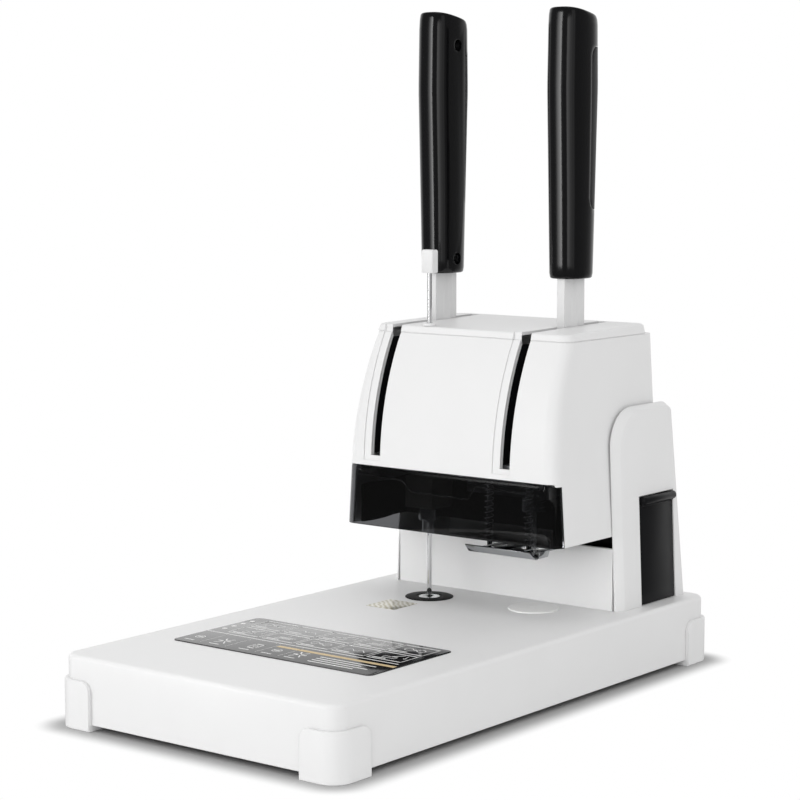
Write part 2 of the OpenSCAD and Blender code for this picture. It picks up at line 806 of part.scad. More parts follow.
module ram_bush() {
  color(bronze) difference() {
    rod_between(rivet_x, rivet_y, ram_block[0], ram_block[1], bush_r);
    rod_between(rivet_x, rivet_y, ram_block[0] - 1, ram_block[1] + 1, ram_r + run_gap);
  }
}

module inner_liner() {
  wall = 2;
  x1 = side_x + side_t + fit_gap + wall;
  liner_back = guide_ys[1] + 9.5;
  color(black_plastic) difference() {
    box_between([-x1, head_front + 11, head_z + 1], [x1, liner_back, carriage_z - 0.5]);
    box_between([-x1 + wall, head_front + 5, head_z - 1], [x1 - wall, liner_back - wall, 160]);
  }
}

// Side view of the smoked cover: upright, rounded over its hinge at the top.
function cover_side() =
  concat([[head_front, head_z], [head_front + cover_wrap, head_z],
          [head_front + cover_wrap, cover_pin_z]],
         [for (i = [0:12]) let (a = i * 15)
           [cover_pin_y + knuckle_r * cos(a), cover_pin_z + knuckle_r * sin(a)]]);

module smoked_cover() {
  color([0.12, 0.13, 0.14, 0.75]) difference() {
    union() {
      intersection() {
        difference() {
          head_form(0, head_z, cover_top);
          head_form(cover_wall, head_z - 1, cover_top + 1);
        }
        along_x(-120, 120) polygon(cover_side());
      }
      for (x0 = [-ear_x + fit_gap, ear_x - fit_gap - 8])
        along_x(x0, x0 + 8) translate([cover_pin_y, cover_pin_z]) circle(knuckle_r - 0.15);
    }
    for (s = [-1, 1]) {
      x0 = s > 0 ? ear_x - fit_gap : -ear_x - ear_w - fit_gap;
      box_between([x0, 40, cover_pin_z - knuckle_r - fit_gap],
                  [x0 + ear_w + 2 * fit_gap, 60, 170]);
    }
    along_x(-ear_x - 6, ear_x + 6) translate([cover_pin_y, cover_pin_z])
      circle(cover_pin_r + run_gap);
  }
}

module cover_pins() {
  color(black_plastic) for (s = [-1, 1])
    translate([s * (ear_x - 2), cover_pin_y, cover_pin_z]) rotate([0, 90, 0])
      cylinder(r = cover_pin_r, h = 12, center = true);
}

// ---- Levers ----

module lever_shaft() {
  color(bright_steel) along_x(-side_x - side_t, side_x + side_t)
    translate([pivot_y, pivot_z]) circle(shaft_r - run_gap / 2);
}

module spacer(x0, x1) {
  along_x(x0, x1) translate([pivot_y, pivot_z]) difference() {
    circle(shaft_r + 2);
    circle(shaft_r + run_gap);
  }
}

module shaft_spacers() {
  color(bronze) {
    spacer(-side_x, rivet_lever_x - arm_t / 2 - fit_gap);
    spacer(rivet_pinion_x + gear_w + fit_gap, ram_web_x - fit_gap / 2);
    spacer(ram_web_x + ram_web_t + fit_gap / 2, punch_lever_x - arm_t / 2 - fit_gap);
    spacer(punch_pinion_x + gear_w + fit_gap, side_x);
  }
}

module lever_arm(x, pinion_x) {
  color(white_paint) difference() {
    union() {
      box_between([x - arm_t / 2, pivot_y - arm_w / 2, pivot_z],
                  [x + arm_t / 2, pivot_y + arm_w / 2, arm_top]);
      along_x(x - arm_t / 2, x + arm_t / 2)
        translate([pivot_y, pivot_z]) circle(arm_w / 2);
      along_x(x, pinion_x) translate([pivot_y, pivot_z]) circle(arm_hub_r);
    }
    along_x(x - arm_t, pinion_x + 1) translate([pivot_y, pivot_z])
      circle(shaft_r + run_gap);
    for (z = screw_heights) translate([x, pivot_y, z]) rotate([0, 90, 0])
      cylinder(r = screw_r / 2, h = 20, center = true);
  }
}

module rivet_lever_arm() { lever_arm(rivet_lever_x, rivet_pinion_x); }
module punch_lever_arm() { lever_arm(punch_lever_x, punch_pinion_x); }

// Half angle of a gear tooth at radius r, from the involute of a circle.
function involute(a) = tan(a) * 180 / PI - a;
function tooth_half(r) =
  let (base = pitch_r * cos(20))
  90 / pinion_teeth - tooth_play / 4 / pitch_r * 180 / PI
  + involute(20) - involute(r <= base ? 0 : acos(base / r));

// Pinion sector facing -Y at rest, with its teeth from below the rack to above.
function sector_points() =
  let (step = 360 / pinion_teeth, root = pitch_r - 1.25 * tooth_m,
       tip = pitch_r + 0.95 * tooth_m, base = pitch_r * cos(20),
       radii = [root, base, (base + pitch_r) / 2, pitch_r, (pitch_r + tip) / 2, tip])
  concat([[0, 0]],
    [for (k = [-2:9], side = [1, -1], i = [0:5])
      let (r = radii[side > 0 ? i : 5 - i],
           a = 180 - k * step + side * tooth_half(r))
      r * [cos(a), sin(a)]]);

module pinion(x) {
  color(steel) along_x(x, x + gear_w) translate([pivot_y, pivot_z]) difference() {
    union() {
      polygon(sector_points());
      circle(arm_hub_r + 1);
    }
    circle(shaft_r + run_gap);
  }
}

module rivet_pinion() { pinion(rivet_pinion_x); }
module punch_pinion() { pinion(punch_pinion_x); }

// Rack teeth towards +Y, along z from its lower to its upper end.
function rack_points(z0, z1, back_y) =
  let (p = PI * tooth_m, half = p / 4 - tooth_play / 4,
       out = 0.95 * tooth_m, root = rack_y - 1.25 * tooth_m,
       lean = tan(20), k0 = ceil((z0 + 3 - pivot_z) / p - 0.5),
       k1 = floor((z1 - 3 - pivot_z) / p - 0.5))
  concat([[back_y, z0], [root, z0]],
    [for (k = [k0:k1], q = [0:3])
      let (z = pivot_z + (k + 0.5) * p, low = q < 2 ? -1 : 1,
           top = q == 1 || q == 2,
           w = top ? half - out * lean : half + 1.25 * tooth_m * lean)
      [top ? rack_y + out : root, z + low * w]],
    [[root, z1], [back_y, z1]]);

// Outline of a grip across, as a rounded box of half sizes hx and hy.
function grip_outline(hx, hy) =
  [for (i = [0:31]) let (a = i * 360 / 32, c = cos(a), s = sin(a))
    [hx * sign(c) * pow(abs(c), 0.75), hy * sign(s) * pow(abs(s), 0.75)]];

// Levels of the grip's form: share of its length, and of its half sizes.
grip_levels = [[0, 0.86, 0.78], [0.01, 0.9, 0.82], [0.3, 0.95, 0.88],
               [0.7, 1, 1], [0.93, 0.98, 0.96]];
grip_crown = 6;      // height of the crown over the last level

module grip_form(inset) {
  hull() {
    for (v = grip_levels) translate([0, 0, v[0] * grip_l]) linear_extrude(slice_t)
      polygon(grip_outline(v[1] * grip_hx - inset, v[2] * grip_hy - inset));
    translate([0, 0, grip_l - grip_crown]) rotate([-11, 0, 0]) {
      linear_extrude(slice_t)
        polygon(grip_outline(0.88 * grip_hx - inset, 0.86 * grip_hy - inset));
      translate([0, 0, 2.2]) linear_extrude(slice_t)
        polygon(grip_outline(0.66 * grip_hx - inset, 0.66 * grip_hy - inset));
    }
  }
}

// Room for a grip's back pad, grown by g: round the core that holds the arm.
module pad_room(x, in, g) {
  difference() {
    for (side = [in, -in])
      along_x(min(x, x + side * 2 * grip_hx), max(x, x + side * 2 * grip_hx))
        translate([pivot_y, grip_z]) hull() {
          for (z = [pad_bottom + pad_corner_r, pad_top - pad_corner_r])
            translate([pad_corner_r + (side == in ? pad_in_y : pad_out_y), z])
              circle(pad_corner_r + g);
          translate([2 * grip_hy, pad_bottom - g]) square([1, pad_top - pad_bottom + 2 * g]);
        }
    box_between([x - core_half + g, pivot_y - grip_hy, grip_z],
                [x + core_half - g, pivot_y + arm_w / 2 + core_wall - g, grip_z + grip_l]);
  }
}

// A grip on the lever at x, with its flat inner face towards the side in.
module grip(x, in) {
  color([0.05, 0.05, 0.06]) difference() {
    translate([x, pivot_y, grip_z]) intersection() {
      grip_form(0);
      box_between([in > 0 ? -2 * grip_hx : grip_flat - grip_hx, -2 * grip_hy, -1],
                  [in > 0 ? grip_hx - grip_flat : 2 * grip_hx, 2 * grip_hy, grip_l + 1]);
    }
    box_between([x - arm_t / 2 - 0.1, pivot_y - arm_w / 2 - 0.1, grip_z - 1],
                [x + arm_t / 2 + 0.1, pivot_y + arm_w / 2 + 0.1, arm_top + 0.2]);
    pad_room(x, in, fit_gap);
    for (z = screw_heights) translate([x, pivot_y, z]) rotate([0, in * 90, 0]) {
      cylinder(r = screw_r / 2 + run_gap, h = grip_hx);
      translate([0, 0, arm_t / 2 + screw_seat]) cylinder(r = screw_r + run_gap, h = grip_hx);
    }
  }
}

module rivet_grip() { grip(rivet_lever_x, 1); }
module punch_grip() { grip(punch_lever_x, -1); }

module grip_pad(x, in) {
  color([0.09, 0.09, 0.1]) intersection() {
    translate([x, pivot_y, grip_z]) intersection() {
      grip_form(pad_sink);
      box_between([in > 0 ? -2 * grip_hx : grip_flat + pad_sink - grip_hx, 0, 0],
                  [in > 0 ? grip_hx - grip_flat - pad_sink : 2 * grip_hx, 2 * grip_hy, grip_l]);
    }
    pad_room(x, in, 0);
  }
}

module rivet_grip_pad() { grip_pad(rivet_lever_x, 1); }
module punch_grip_pad() { grip_pad(punch_lever_x, -1); }

module grip_screws(x, in) {
  color(steel) for (z = screw_heights)
    translate([x, pivot_y, z]) rotate([0, in * 90, 0]) {
      translate([0, 0, -arm_t / 2])
        cylinder(r = screw_r / 2 - run_gap, h = arm_t + screw_seat + lap);
      translate([0, 0, arm_t / 2 + screw_seat]) difference() {
        cylinder(r = screw_r, h = 2.2);
        translate([0, 0, 1.2]) cylinder(r = 1.2, h = 2, $fn = 6);
      }
    }
}

module rivet_grip_screws() { grip_screws(rivet_lever_x, 1); }
module punch_grip_screws() { grip_screws(punch_lever_x, -1); }

// ---- Riveting ram ----

module rivet_ram() {
  color(bright_steel) difference() {
    union() {
      rod_between(rivet_x, rivet_y, heater_top, ram_top, ram_r);
      box_between([rivet_pinion_x, rack_back_y - 1, ram_top - 9], [rivet_x, 103, ram_top]);
      along_x(rivet_pinion_x, rivet_pinion_x + gear_w)
        polygon(rack_points(rack_span[0], rack_span[1], rack_back_y + 1));
    }
    rod_between(rivet_x, rivet_y, heater_top - 1, ram_top + 1, rod_r + fit_gap);
  }
}

module die_heater() {
  color([0.35, 0.33, 0.3]) difference() {
    box_between([rivet_x - 13, rivet_y - 13, die_rest_z + 18],
                [rivet_x + 13, rivet_y + 13, heater_top]);
    rod_between(rivet_x, rivet_y, die_rest_z, heater_top + 1, rod_r + fit_gap);
  }
}

module upper_die() {
  color(bright_steel) difference() {
    union() {
      rod_between(rivet_x, rivet_y, die_rest_z + 8, die_rest_z + 18, 8);
      rod_between(rivet_x, rivet_y, die_rest_z, die_rest_z + 8, 5);
    }
    rod_between(rivet_x, rivet_y, die_rest_z - 1, die_rest_z + 19, rod_r + fit_gap);
  }
}

module guide_rod() {
  tip_z = base_top + rod_tip_gap;
  top = tip_z + rod_l - knob_h + 6;
  color(bright_steel) {
    rod_between(rivet_x, rivet_y, tip_z + 3, top, rod_r);
    translate([rivet_x, rivet_y, tip_z]) cylinder(r1 = 0.6, r2 = rod_r, h = 3);
  }
}

module guide_knob() {
  z1 = base_top + rod_tip_gap + rod_l;
  color(white_paint) difference() {
    translate([rivet_x, rivet_y, z1 - knob_h])
      soft_slab(knob_w, knob_l, knob_h, 2, 1.5);
    rod_between(rivet_x, rivet_y, z1 - knob_h - 1, z1 - knob_h + 6, rod_r);
  }
}

module guide_collar() {
  z0 = seam_z + cap_h + 0.1;
  color(white_paint) difference() {
    rod_between(rivet_x, rivet_y, z0 + 0.15, z0 + 2.4, 4.8);
    rod_between(rivet_x, rivet_y, z0 - 1, z0 + 4, rod_r + fit_gap);
  }
}

// ---- Drill carriage ----

module drill_carriage() {
  rack_x = punch_pinion_x;
  top = carriage_z + bearing_block_h;
  pulley_top = pulley_z + pulley_h;
  color([0.45, 0.46, 0.48]) difference() {
    union() {
      box_between([-2, 82, carriage_z], [rack_x + gear_w, 116, top]);
      box_between([58, 84, carriage_z], [72.5, rack_back_y + 1, rack_span[1]]);
      along_x(rack_x, rack_x + gear_w)
        polygon(rack_points(rack_span[0], rack_span[1], rack_back_y));
      box_between([72.4, guide_ys[0] - 6, 170], [86, guide_ys[1] + 6, 206]);
      box_between([-2, 84, top - 1], [0, 114, motor_z]);
      box_between([-2, 82, motor_z - motor_plate_t], [motor_x + 18, 116, motor_z]);
      box_between([24, spring_y - 6, bracket_z], [74, spring_y + 6, bracket_z + bracket_t]);
      box_between([58, spring_y + 6 - lap, bracket_z], [70, 86, bracket_z + bracket_t]);
    }
    rod_between(drill_x, drill_y, 110, pulley_z, 6 + run_gap);
    rod_between(drill_x, drill_y, top + 0.5, pulley_top + 0.6, spindle_pulley_r + 3);
    rod_between(motor_x, drill_y, top - 7, motor_z + 1, motor_shaft_r + run_gap);
    rod_between(motor_x, drill_y, pulley_top, motor_z + 1, 5);
    for (y = guide_ys) rod_between(guide_x, y, 160, 210, guide_r + run_gap);
    for (x = spring_xs) rod_between(x, spring_y, carriage_z, 180, rod_r + run_gap);
  }
}

module guide_columns() {
  color(bright_steel) for (y = guide_ys)
    rod_between(guide_x, y, lug_z, frame_top, guide_r);
}

module drill_motor() {
  top = motor_z + motor_l;
  color([0.3, 0.3, 0.32]) difference() {
    union() {
      rod_between(motor_x, drill_y, motor_z, top, motor_r);
      rod_between(motor_x, drill_y, top - lap, top + 3, motor_r - 6);
    }
    rod_between(motor_x, drill_y, motor_z - 1, motor_z + 12, motor_shaft_r + run_gap);
  }
}

module grooved_pulley(x, r) {
  translate([x, drill_y, pulley_z]) rotate_extrude() polygon([
    [0, 0], [r + 1.8, 0], [r + 1.8, 1.2], [r, 1.2], [r, pulley_h - 1.2],
    [r + 1.8, pulley_h - 1.2], [r + 1.8, pulley_h], [0, pulley_h]]);
}

module motor_pulley() {
  color(steel) {
    grooved_pulley(motor_x, motor_pulley_r);
    rod_between(motor_x, drill_y, carriage_z + bearing_block_h - 7, motor_z + 10,
                motor_shaft_r);
  }
}

module drill_spindle() {
  color(steel) {
    grooved_pulley(drill_x, spindle_pulley_r);
    difference() {
      union() {
        rod_between(drill_x, drill_y, carriage_z - 0.3, pulley_z, 6);
        rod_between(drill_x, drill_y, carriage_z - nose_h, carriage_z - 0.3, 9);
      }
      rod_between(drill_x, drill_y, carriage_z - nose_h - 1, carriage_z + 4, drill_r);
    }
  }
}

module hollow_drill() {
  tip = base_top + pad_rise + 0.4 + drill_travel;
  color(bright_steel) difference() {
    rod_between(drill_x, drill_y, tip, carriage_z + 4, drill_r);
    rod_between(drill_x, drill_y, tip - 1, carriage_z + 2, drill_r - 0.7);
  }
}

module drive_belt() {
  color(black_plastic) difference() {
    translate([0, 0, pulley_z + 1.6]) linear_extrude(pulley_h - 3.2) hull() {
      translate([motor_x, drill_y]) circle(motor_pulley_r + fit_gap + belt_t);
      translate([drill_x, drill_y]) circle(spindle_pulley_r + fit_gap + belt_t);
    }
    translate([0, 0, pulley_z]) linear_extrude(pulley_h) hull() {
      translate([motor_x, drill_y]) circle(motor_pulley_r + fit_gap);
      translate([drill_x, drill_y]) circle(spindle_pulley_r + fit_gap);
    }
  }
}

// ---- Press foot ----

foot_x0 = drill_x - foot_w / 2 - 3.5;
foot_y0 = 58.5;

// Section of a folded edge of the press foot, which leans out by lean.
function folded_edge(lean) =
  [[lean, 0], [0, foot_flange], [foot_sheet, foot_flange], [lean + foot_sheet, 0]];

module press_foot() {
  x1 = foot_x0 + foot_w;
  y1 = foot_y0 + foot_l;
  color(bright_steel) difference() {
    union() {
      box_between([foot_x0, foot_y0 + foot_lean, foot_z],
                  [x1 - foot_side_lean, foot_y0 + foot_side_l, foot_z + foot_sheet]);
      box_between([foot_x0, foot_y0 + foot_lean, foot_z], [x1 - foot_step, y1, foot_z + foot_sheet]);
      along_x(foot_x0, x1 - 3 * foot_side_lean) translate([foot_y0, foot_z])
        polygon(folded_edge(foot_lean));
      translate([x1, foot_y0 + foot_side_l, foot_z]) rotate([90, 0, 0])
        linear_extrude(foot_side_l - 2 * foot_lean) mirror([1, 0])
          polygon(folded_edge(foot_side_lean));
    }
    rod_between(drill_x, drill_y, foot_z - 1, foot_z + 4, 10);
    for (x = spring_xs) rod_between(x, spring_y, foot_z - 1, foot_z + 4, foot_rod_end_r);
  }
}

module foot_rods() {
  color(bright_steel) for (x = spring_xs) {
    rod_between(x, spring_y, foot_z + foot_sheet, bracket_z + bracket_t + 3, rod_r);
    rod_between(x, spring_y, foot_z, foot_z + foot_sheet + lap, foot_rod_end_r);
    rod_between(x, spring_y, bracket_z + bracket_t + 0.1, bracket_z + bracket_t + 1.6,
                rod_r + 0.9);
  }
}

spring_z0 = foot_z + foot_sheet + spring_wire_r + 0.1;
spring_z1 = bracket_z - spring_wire_r - 0.1;
spring_rings = 8;

// Centre line of a press spring: even curls with straight ends of one diameter.
function spring_line() =
  let (n = spring_curls * spring_rings, rise = (spring_z1 - spring_z0) / n)
  concat([[spring_coil_r, -2 * spring_wire_r, spring_z0]],
    [for (i = [0:n]) let (a = 360 * i / spring_rings)
      [spring_coil_r * cos(a), spring_coil_r * sin(a), spring_z0 + rise * i]],
    [[spring_coil_r, 2 * spring_wire_r, spring_z1]]);

function unit(v) = v / norm(v);

// Tube of radius r and n sides along the points p, as one closed surface.
module wire_tube(p, r, n) {
  last = len(p) - 1;
  rings = [for (i = [0:last])
    let (t = unit(p[min(i + 1, last)] - p[max(i - 1, 0)]),
         u = unit(cross(t, [0, 0, 1])), v = cross(u, t))
    for (k = [0:n - 1]) let (a = 360 * k / n) p[i] + r * (cos(a) * u + sin(a) * v)];
  sides = [for (i = [0:last - 1], k = [0:n - 1])
    let (a = i * n + k, b = i * n + (k + 1) % n)
    each [[a, b, a + n], [b, b + n, a + n]]];
  caps = [for (k = [1:n - 2]) each [[0, k + 1, k], [last * n, last * n + k, last * n + k + 1]]];
  polyhedron(points = rings, faces = concat(sides, caps));
}

// Least distance between points of the line that lie more than half a curl apart.
function least_gap(p, skip) =
  min([for (i = [0:len(p) - 1]) for (j = [i + skip:1:len(p) - 1]) norm(p[i] - p[j])]);

module press_spring(x) {
  color(bright_steel) translate([x, spring_y, 0])
    wire_tube(spring_line(), spring_wire_r, 6);
}

module press_spring_left() { press_spring(spring_xs[0]); }
module press_spring_right() { press_spring(spring_xs[1]); }
echo(press_spring_gap = least_gap(spring_line(), spring_rings / 2) - 2 * spring_wire_r);

base_cover();
base_floor();
base_bed();
guard_front_left();
guard_front_right();
guard_back_left();
guard_back_right();
rubber_feet();
instruction_plate();
foil_patch();
lower_die_ring();
lower_die();
cutting_pad();
control_board();
column_housing();
column_back_cover();
column_post();
waste_bin();
power_inlet();
switch_frame();
power_switch();
head_shell();
head_cap();
head_frame();
inner_liner();
smoked_cover();
cover_pins();
lever_shaft();
shaft_spacers();
rivet_lever_arm();
rivet_pinion();
rivet_grip();
rivet_grip_pad();
rivet_grip_screws();
punch_lever_arm();
punch_pinion();
punch_grip();
punch_grip_pad();
punch_grip_screws();
rivet_ram();
ram_bush();
die_heater();
upper_die();
drill_carriage();
guide_columns();
drill_motor();
motor_pulley();
drill_spindle();
hollow_drill();
drive_belt();
press_foot();
foot_rods();
press_spring_left();
press_spring_right();
guide_rod();
guide_knob();
guide_collar();
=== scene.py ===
"""A desk riveting machine for documents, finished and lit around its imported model."""
import math

import bmesh
import bpy
from mathutils import Euler, Matrix, Vector


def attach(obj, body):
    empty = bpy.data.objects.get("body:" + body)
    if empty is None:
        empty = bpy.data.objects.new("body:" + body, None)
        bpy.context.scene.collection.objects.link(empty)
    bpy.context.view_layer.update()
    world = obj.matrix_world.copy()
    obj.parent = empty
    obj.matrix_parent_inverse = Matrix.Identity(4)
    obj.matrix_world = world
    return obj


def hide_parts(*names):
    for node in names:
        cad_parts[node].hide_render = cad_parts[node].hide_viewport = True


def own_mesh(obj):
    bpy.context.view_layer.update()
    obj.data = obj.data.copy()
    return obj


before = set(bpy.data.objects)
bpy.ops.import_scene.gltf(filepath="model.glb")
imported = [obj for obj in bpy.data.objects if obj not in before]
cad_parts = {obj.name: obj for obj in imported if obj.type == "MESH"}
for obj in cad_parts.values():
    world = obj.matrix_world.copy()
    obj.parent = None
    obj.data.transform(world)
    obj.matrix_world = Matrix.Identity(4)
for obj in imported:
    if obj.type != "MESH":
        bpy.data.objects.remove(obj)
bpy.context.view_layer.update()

# ---- Studio ------------------------------------------------------------------
# A white sweep in a white surround, lit by two wide lamps in front, each graded
# across its width, one at the right, one above and a faint fill under the head.
# The camera stands as far off as for a product shot.

scene = bpy.context.scene
scene.view_settings.view_transform = "Standard"

LENS, SENSOR = 102.8, 36
CAMERA_PLACE = (1.0297, -1.3191, 0.4101)
CAMERA_DOWN, CAMERA_TURN = 6.54, 38.07
AHEAD = (-0.616, 0.788, 0)  # level direction from the camera to the object
FULL_WHITE = (1, 1, 1, 1)
AMBIENT, ROOM_IN_GLOSS = 0.82, 0.15
ROOM_FADE = (0.25, 0.75)
# The paper's tone drops by this much where the camera sees it: a painted contact shadow near the
# base.
PAPER, PAPER_PAINTED_SHADOW = 0.93, 0.45
SHADOW_HALF, SHADOW_FADE = (0.116, 0.22), (0.012, 0.034)
FLOOR_REACH = 6.0
LAMPS = (
    # name, place, target, size, watts, levels at its left and right, spread, in gloss
    ("tall key lamp", (-0.95, -1.6, 0.62), (0, 0, 0.45), (0.55, 1.15), 7.2, (0.1, 1.9), 180, True),
    ("broad soft lamp", (1.15, -1.6, 0.5), (0, 0, 0.35), (1.5, 1.0), 4.2, (1.9, 0.1), 180, True),
    ("side lamp", (1.5, -0.75, 0.7), (0, 0, 0.35), (0.8, 1.4), 1.1, None, 180, True),
    ("top lamp", (0.1, -0.3, 1.75), (0, 0, 0.2), (1.2, 0.8), 1.5, None, 180, True),
    ("low fill", (-0.1, -0.45, 0.12), (0, 0.12, 0.08), (0.25, 0.06), 0.02, None, 26, False),
)


def fill(node, *operands, **settings):
    """Sets a node up. Operands go to its sockets in order, settings in capitals to its
    sockets by name and small ones to its options. A socket that is given is linked."""
    values = [(slot, value) for slot, value in enumerate(operands) if value is not None]
    for key, value in settings.items():
        if key[0].islower():
            setattr(node, key, value)
        else:
            values.append((key.replace("_", " "), value))
    for key, value in values:
        if isinstance(value, bpy.types.NodeSocket):
            node.id_data.links.new(value, node.inputs[key])
        else:
            node.inputs[key].default_value = value
    return node


def add(tree, kind, *operands, **settings):
    return fill(tree.nodes.new(kind), *operands, **settings)


def calc(tree, operation, a, b=None):
    """Result of a Math node on numbers or sockets."""
    return add(tree, "ShaderNodeMath", a, b, operation=operation).outputs[0]


def fade(tree, value, start, end, low=0.0):
    """A smooth rise from low to 1 while a socket's value goes from start to end."""
    return add(tree, "ShaderNodeMapRange", Value=value, From_Min=start, From_Max=end, To_Min=low,
               interpolation_type="SMOOTHSTEP").outputs[0]


def put_in_scene(name, data):
    made = bpy.data.objects.new(name, data)
    scene.collection.objects.link(made)
    return made


def seen_directly(tree):
    """Mask of the rays that come from the camera, a gloss or a glass."""
    path = add(tree, "ShaderNodeLightPath").outputs
    mask = calc(tree, "MAXIMUM", path["Is Camera Ray"], path["Is Glossy Ray"])
    return calc(tree, "MAXIMUM", mask, path["Is Transmission Ray"])


def backdrop_level(tree, direction):
    """Strength of the white surround: full behind the object, and for a gloss
    only the dim room round the camera in front of it."""
    ahead = add(tree, "ShaderNodeVectorMath", direction, AHEAD, operation="DOT_PRODUCT")
    level = fade(tree, ahead.outputs["Value"], *ROOM_FADE, low=ROOM_IN_GLOSS)
    glossy = add(tree, "ShaderNodeLightPath").outputs["Is Glossy Ray"]
    missing = calc(tree, "MULTIPLY", glossy, calc(tree, "SUBTRACT", 1, level))
    return calc(tree, "SUBTRACT", 1, missing)


def set_up_camera():
    data = bpy.data.cameras.new("camera")
    data.lens, data.sensor_width = LENS, SENSOR
    camera = put_in_scene("camera", data)
    camera.location = CAMERA_PLACE
    camera.rotation_euler = Euler((math.radians(90 - CAMERA_DOWN), 0, math.radians(CAMERA_TURN)))
    scene.camera = camera


def set_up_lamp(name, place, target, size, watts, levels, spread, in_gloss):
    data = bpy.data.lights.new(name, "AREA")
    data.shape = "RECTANGLE"
    data.size, data.size_y = size
    data.energy, data.spread = watts, math.radians(spread)
    if levels:
        data.use_nodes = True
        tree = data.node_tree
        spot = add(tree, "ShaderNodeNewGeometry").outputs["Parametric"]
        across = add(tree, "ShaderNodeSeparateXYZ", spot).outputs["X"]
        level = add(tree, "ShaderNodeMapRange", Value=across, To_Min=levels[0], To_Max=levels[1])
        fill(tree.nodes["Emission"], Strength=level.outputs[0])
    made = put_in_scene(name, data)
    made.location = place
    made.rotation_euler = (Vector(target) - Vector(place)).to_track_quat("-Z", "Y").to_euler()
    made.visible_glossy = in_gloss


def light_the_world():
    world = scene.world = bpy.data.worlds.new("studio")
    world.use_nodes = True
    tree = world.node_tree
    tree.nodes.clear()
    level = backdrop_level(tree, add(tree, "ShaderNodeTexCoord").outputs["Generated"])
    ambient = add(tree, "ShaderNodeBackground", Color=FULL_WHITE, Strength=AMBIENT)
    white = add(tree, "ShaderNodeBackground", Color=FULL_WHITE, Strength=level)
    mix = add(tree, "ShaderNodeMixShader", seen_directly(tree), ambient.outputs[0],
              white.outputs[0])
    add(tree, "ShaderNodeOutputWorld", mix.outputs[0])


def paper_sweep():
    """Paper that glows like the surround, apart from the shadow close to the base, and lets a
    camera below look through it. Near the base it is darker where it is seen itself than for
    the light it bounces: a painted contact shadow."""
    material = bpy.data.materials.new("paper sweep")
    material.use_nodes = True
    tree = material.node_tree
    tree.nodes.clear()
    seen = seen_directly(tree)
    # painted contact shadow: the paper is darker for the camera's own rays than for bounced light
    tone = calc(tree, "SUBTRACT", PAPER, calc(tree, "MULTIPLY", seen, PAPER_PAINTED_SHADOW))
    paper = add(tree, "ShaderNodeBsdfDiffuse", tone)
    place = add(tree, "ShaderNodeTexCoord").outputs["Object"]
    parts = add(tree, "ShaderNodeSeparateXYZ", place).outputs
    beside = [calc(tree, "MAXIMUM", calc(tree, "SUBTRACT", calc(tree, "ABSOLUTE", part), half), 0)
              for part, half in zip(parts, SHADOW_HALF)]
    away = add(tree, "ShaderNodeVectorMath", add(tree, "ShaderNodeCombineXYZ", *beside).outputs[0],
               operation="LENGTH").outputs["Value"]
    outwards = add(tree, "ShaderNodeVectorMath", place, operation="NORMALIZE").outputs["Vector"]
    glow = add(tree, "ShaderNodeEmission", Color=FULL_WHITE,
               Strength=backdrop_level(tree, outwards))
    mask = calc(tree, "MULTIPLY", fade(tree, away, *SHADOW_FADE), seen)
    mix = add(tree, "ShaderNodeMixShader", mask, paper.outputs[0], glow.outputs[0])
    below = add(tree, "ShaderNodeNewGeometry").outputs["Backfacing"]
    clear = add(tree, "ShaderNodeBsdfTransparent").outputs[0]
    both = add(tree, "ShaderNodeMixShader", below, mix.outputs[0], clear)
    add(tree, "ShaderNodeOutputMaterial", both.outputs[0])
    return material


def lay_floor():
    mesh = bpy.data.meshes.new("floor")
    corners = [(x * FLOOR_REACH, y * FLOOR_REACH, 0)
               for x, y in ((-1, -1), (1, -1), (1, 1), (-1, 1))]
    mesh.from_pydata(corners, [], [(0, 1, 2, 3)])
    mesh.materials.append(paper_sweep())
    floor = put_in_scene("floor", mesh)


set_up_camera()
light_the_world()
lay_floor()
for lamp in LAMPS:
    set_up_lamp(*lamp)

# ---- Base --------------------------------------------------------------------
# The lid of the base is one moulding in white plastic, open underneath, with a
# soft upper edge. Its texture is a fine spark-eroded grain under a satin sheen.

MM = 0.001  # shapes are drawn in millimetres and become pieces in metres
BASE_W, BASE_L = 250, 459
BASE_LOW, BASE_TOP = 4.6, 52
BASE_WALL = 3
BASE_CORNER, BASE_EDGE = 12, 3.5
RIVET_XY, DRILL_XY = (-42, 86.5), (49, 99)
DIE_HOLE_R, PAD_HOLE_R = 17, 19.75
POST_LOW, POST_HIGH = (-84, 166), (30, 188)
LEAST_RADIUS = 0.01
EDGE_SAMPLES = 4


def group_with(name, inputs):
    """Starts a surface group: its tree and the sockets of its input node."""
    tree = bpy.data.node_groups.new(name, "ShaderNodeTree")
    for label, value in inputs:
        kind = "NodeSocketVector" if isinstance(value, tuple) else "NodeSocketFloat"
        socket = tree.interface.new_socket(label, in_out="INPUT", socket_type=kind)
        socket.default_value = value
    for label, kind in (("Mask", "NodeSocketFloat"), ("Normal", "NodeSocketVector")):
        tree.interface.new_socket(label, in_out="OUTPUT", socket_type=kind)
    return tree, tree.nodes.new("NodeGroupInput").outputs


def noise(tree, vector, size, detail, rough):
    return add(tree, "ShaderNodeTexNoise", Vector=vector, Scale=calc(tree, "DIVIDE", 1.0, size),
               Detail=detail, Roughness=rough).outputs[0]


def end_group(tree, given, mask, height, distance):
    """Ends a surface group with its mask and with a bump over softened edges."""
    edge = add(tree, "ShaderNodeBevel", samples=EDGE_SAMPLES, Radius=given["Edge Radius"])
    bump = add(tree, "ShaderNodeBump", Distance=distance, Strength=given["Depth"], Height=height,
               Normal=edge.outputs[0])
    add(tree, "NodeGroupOutput", Mask=mask, Normal=bump.outputs[0])
    return tree


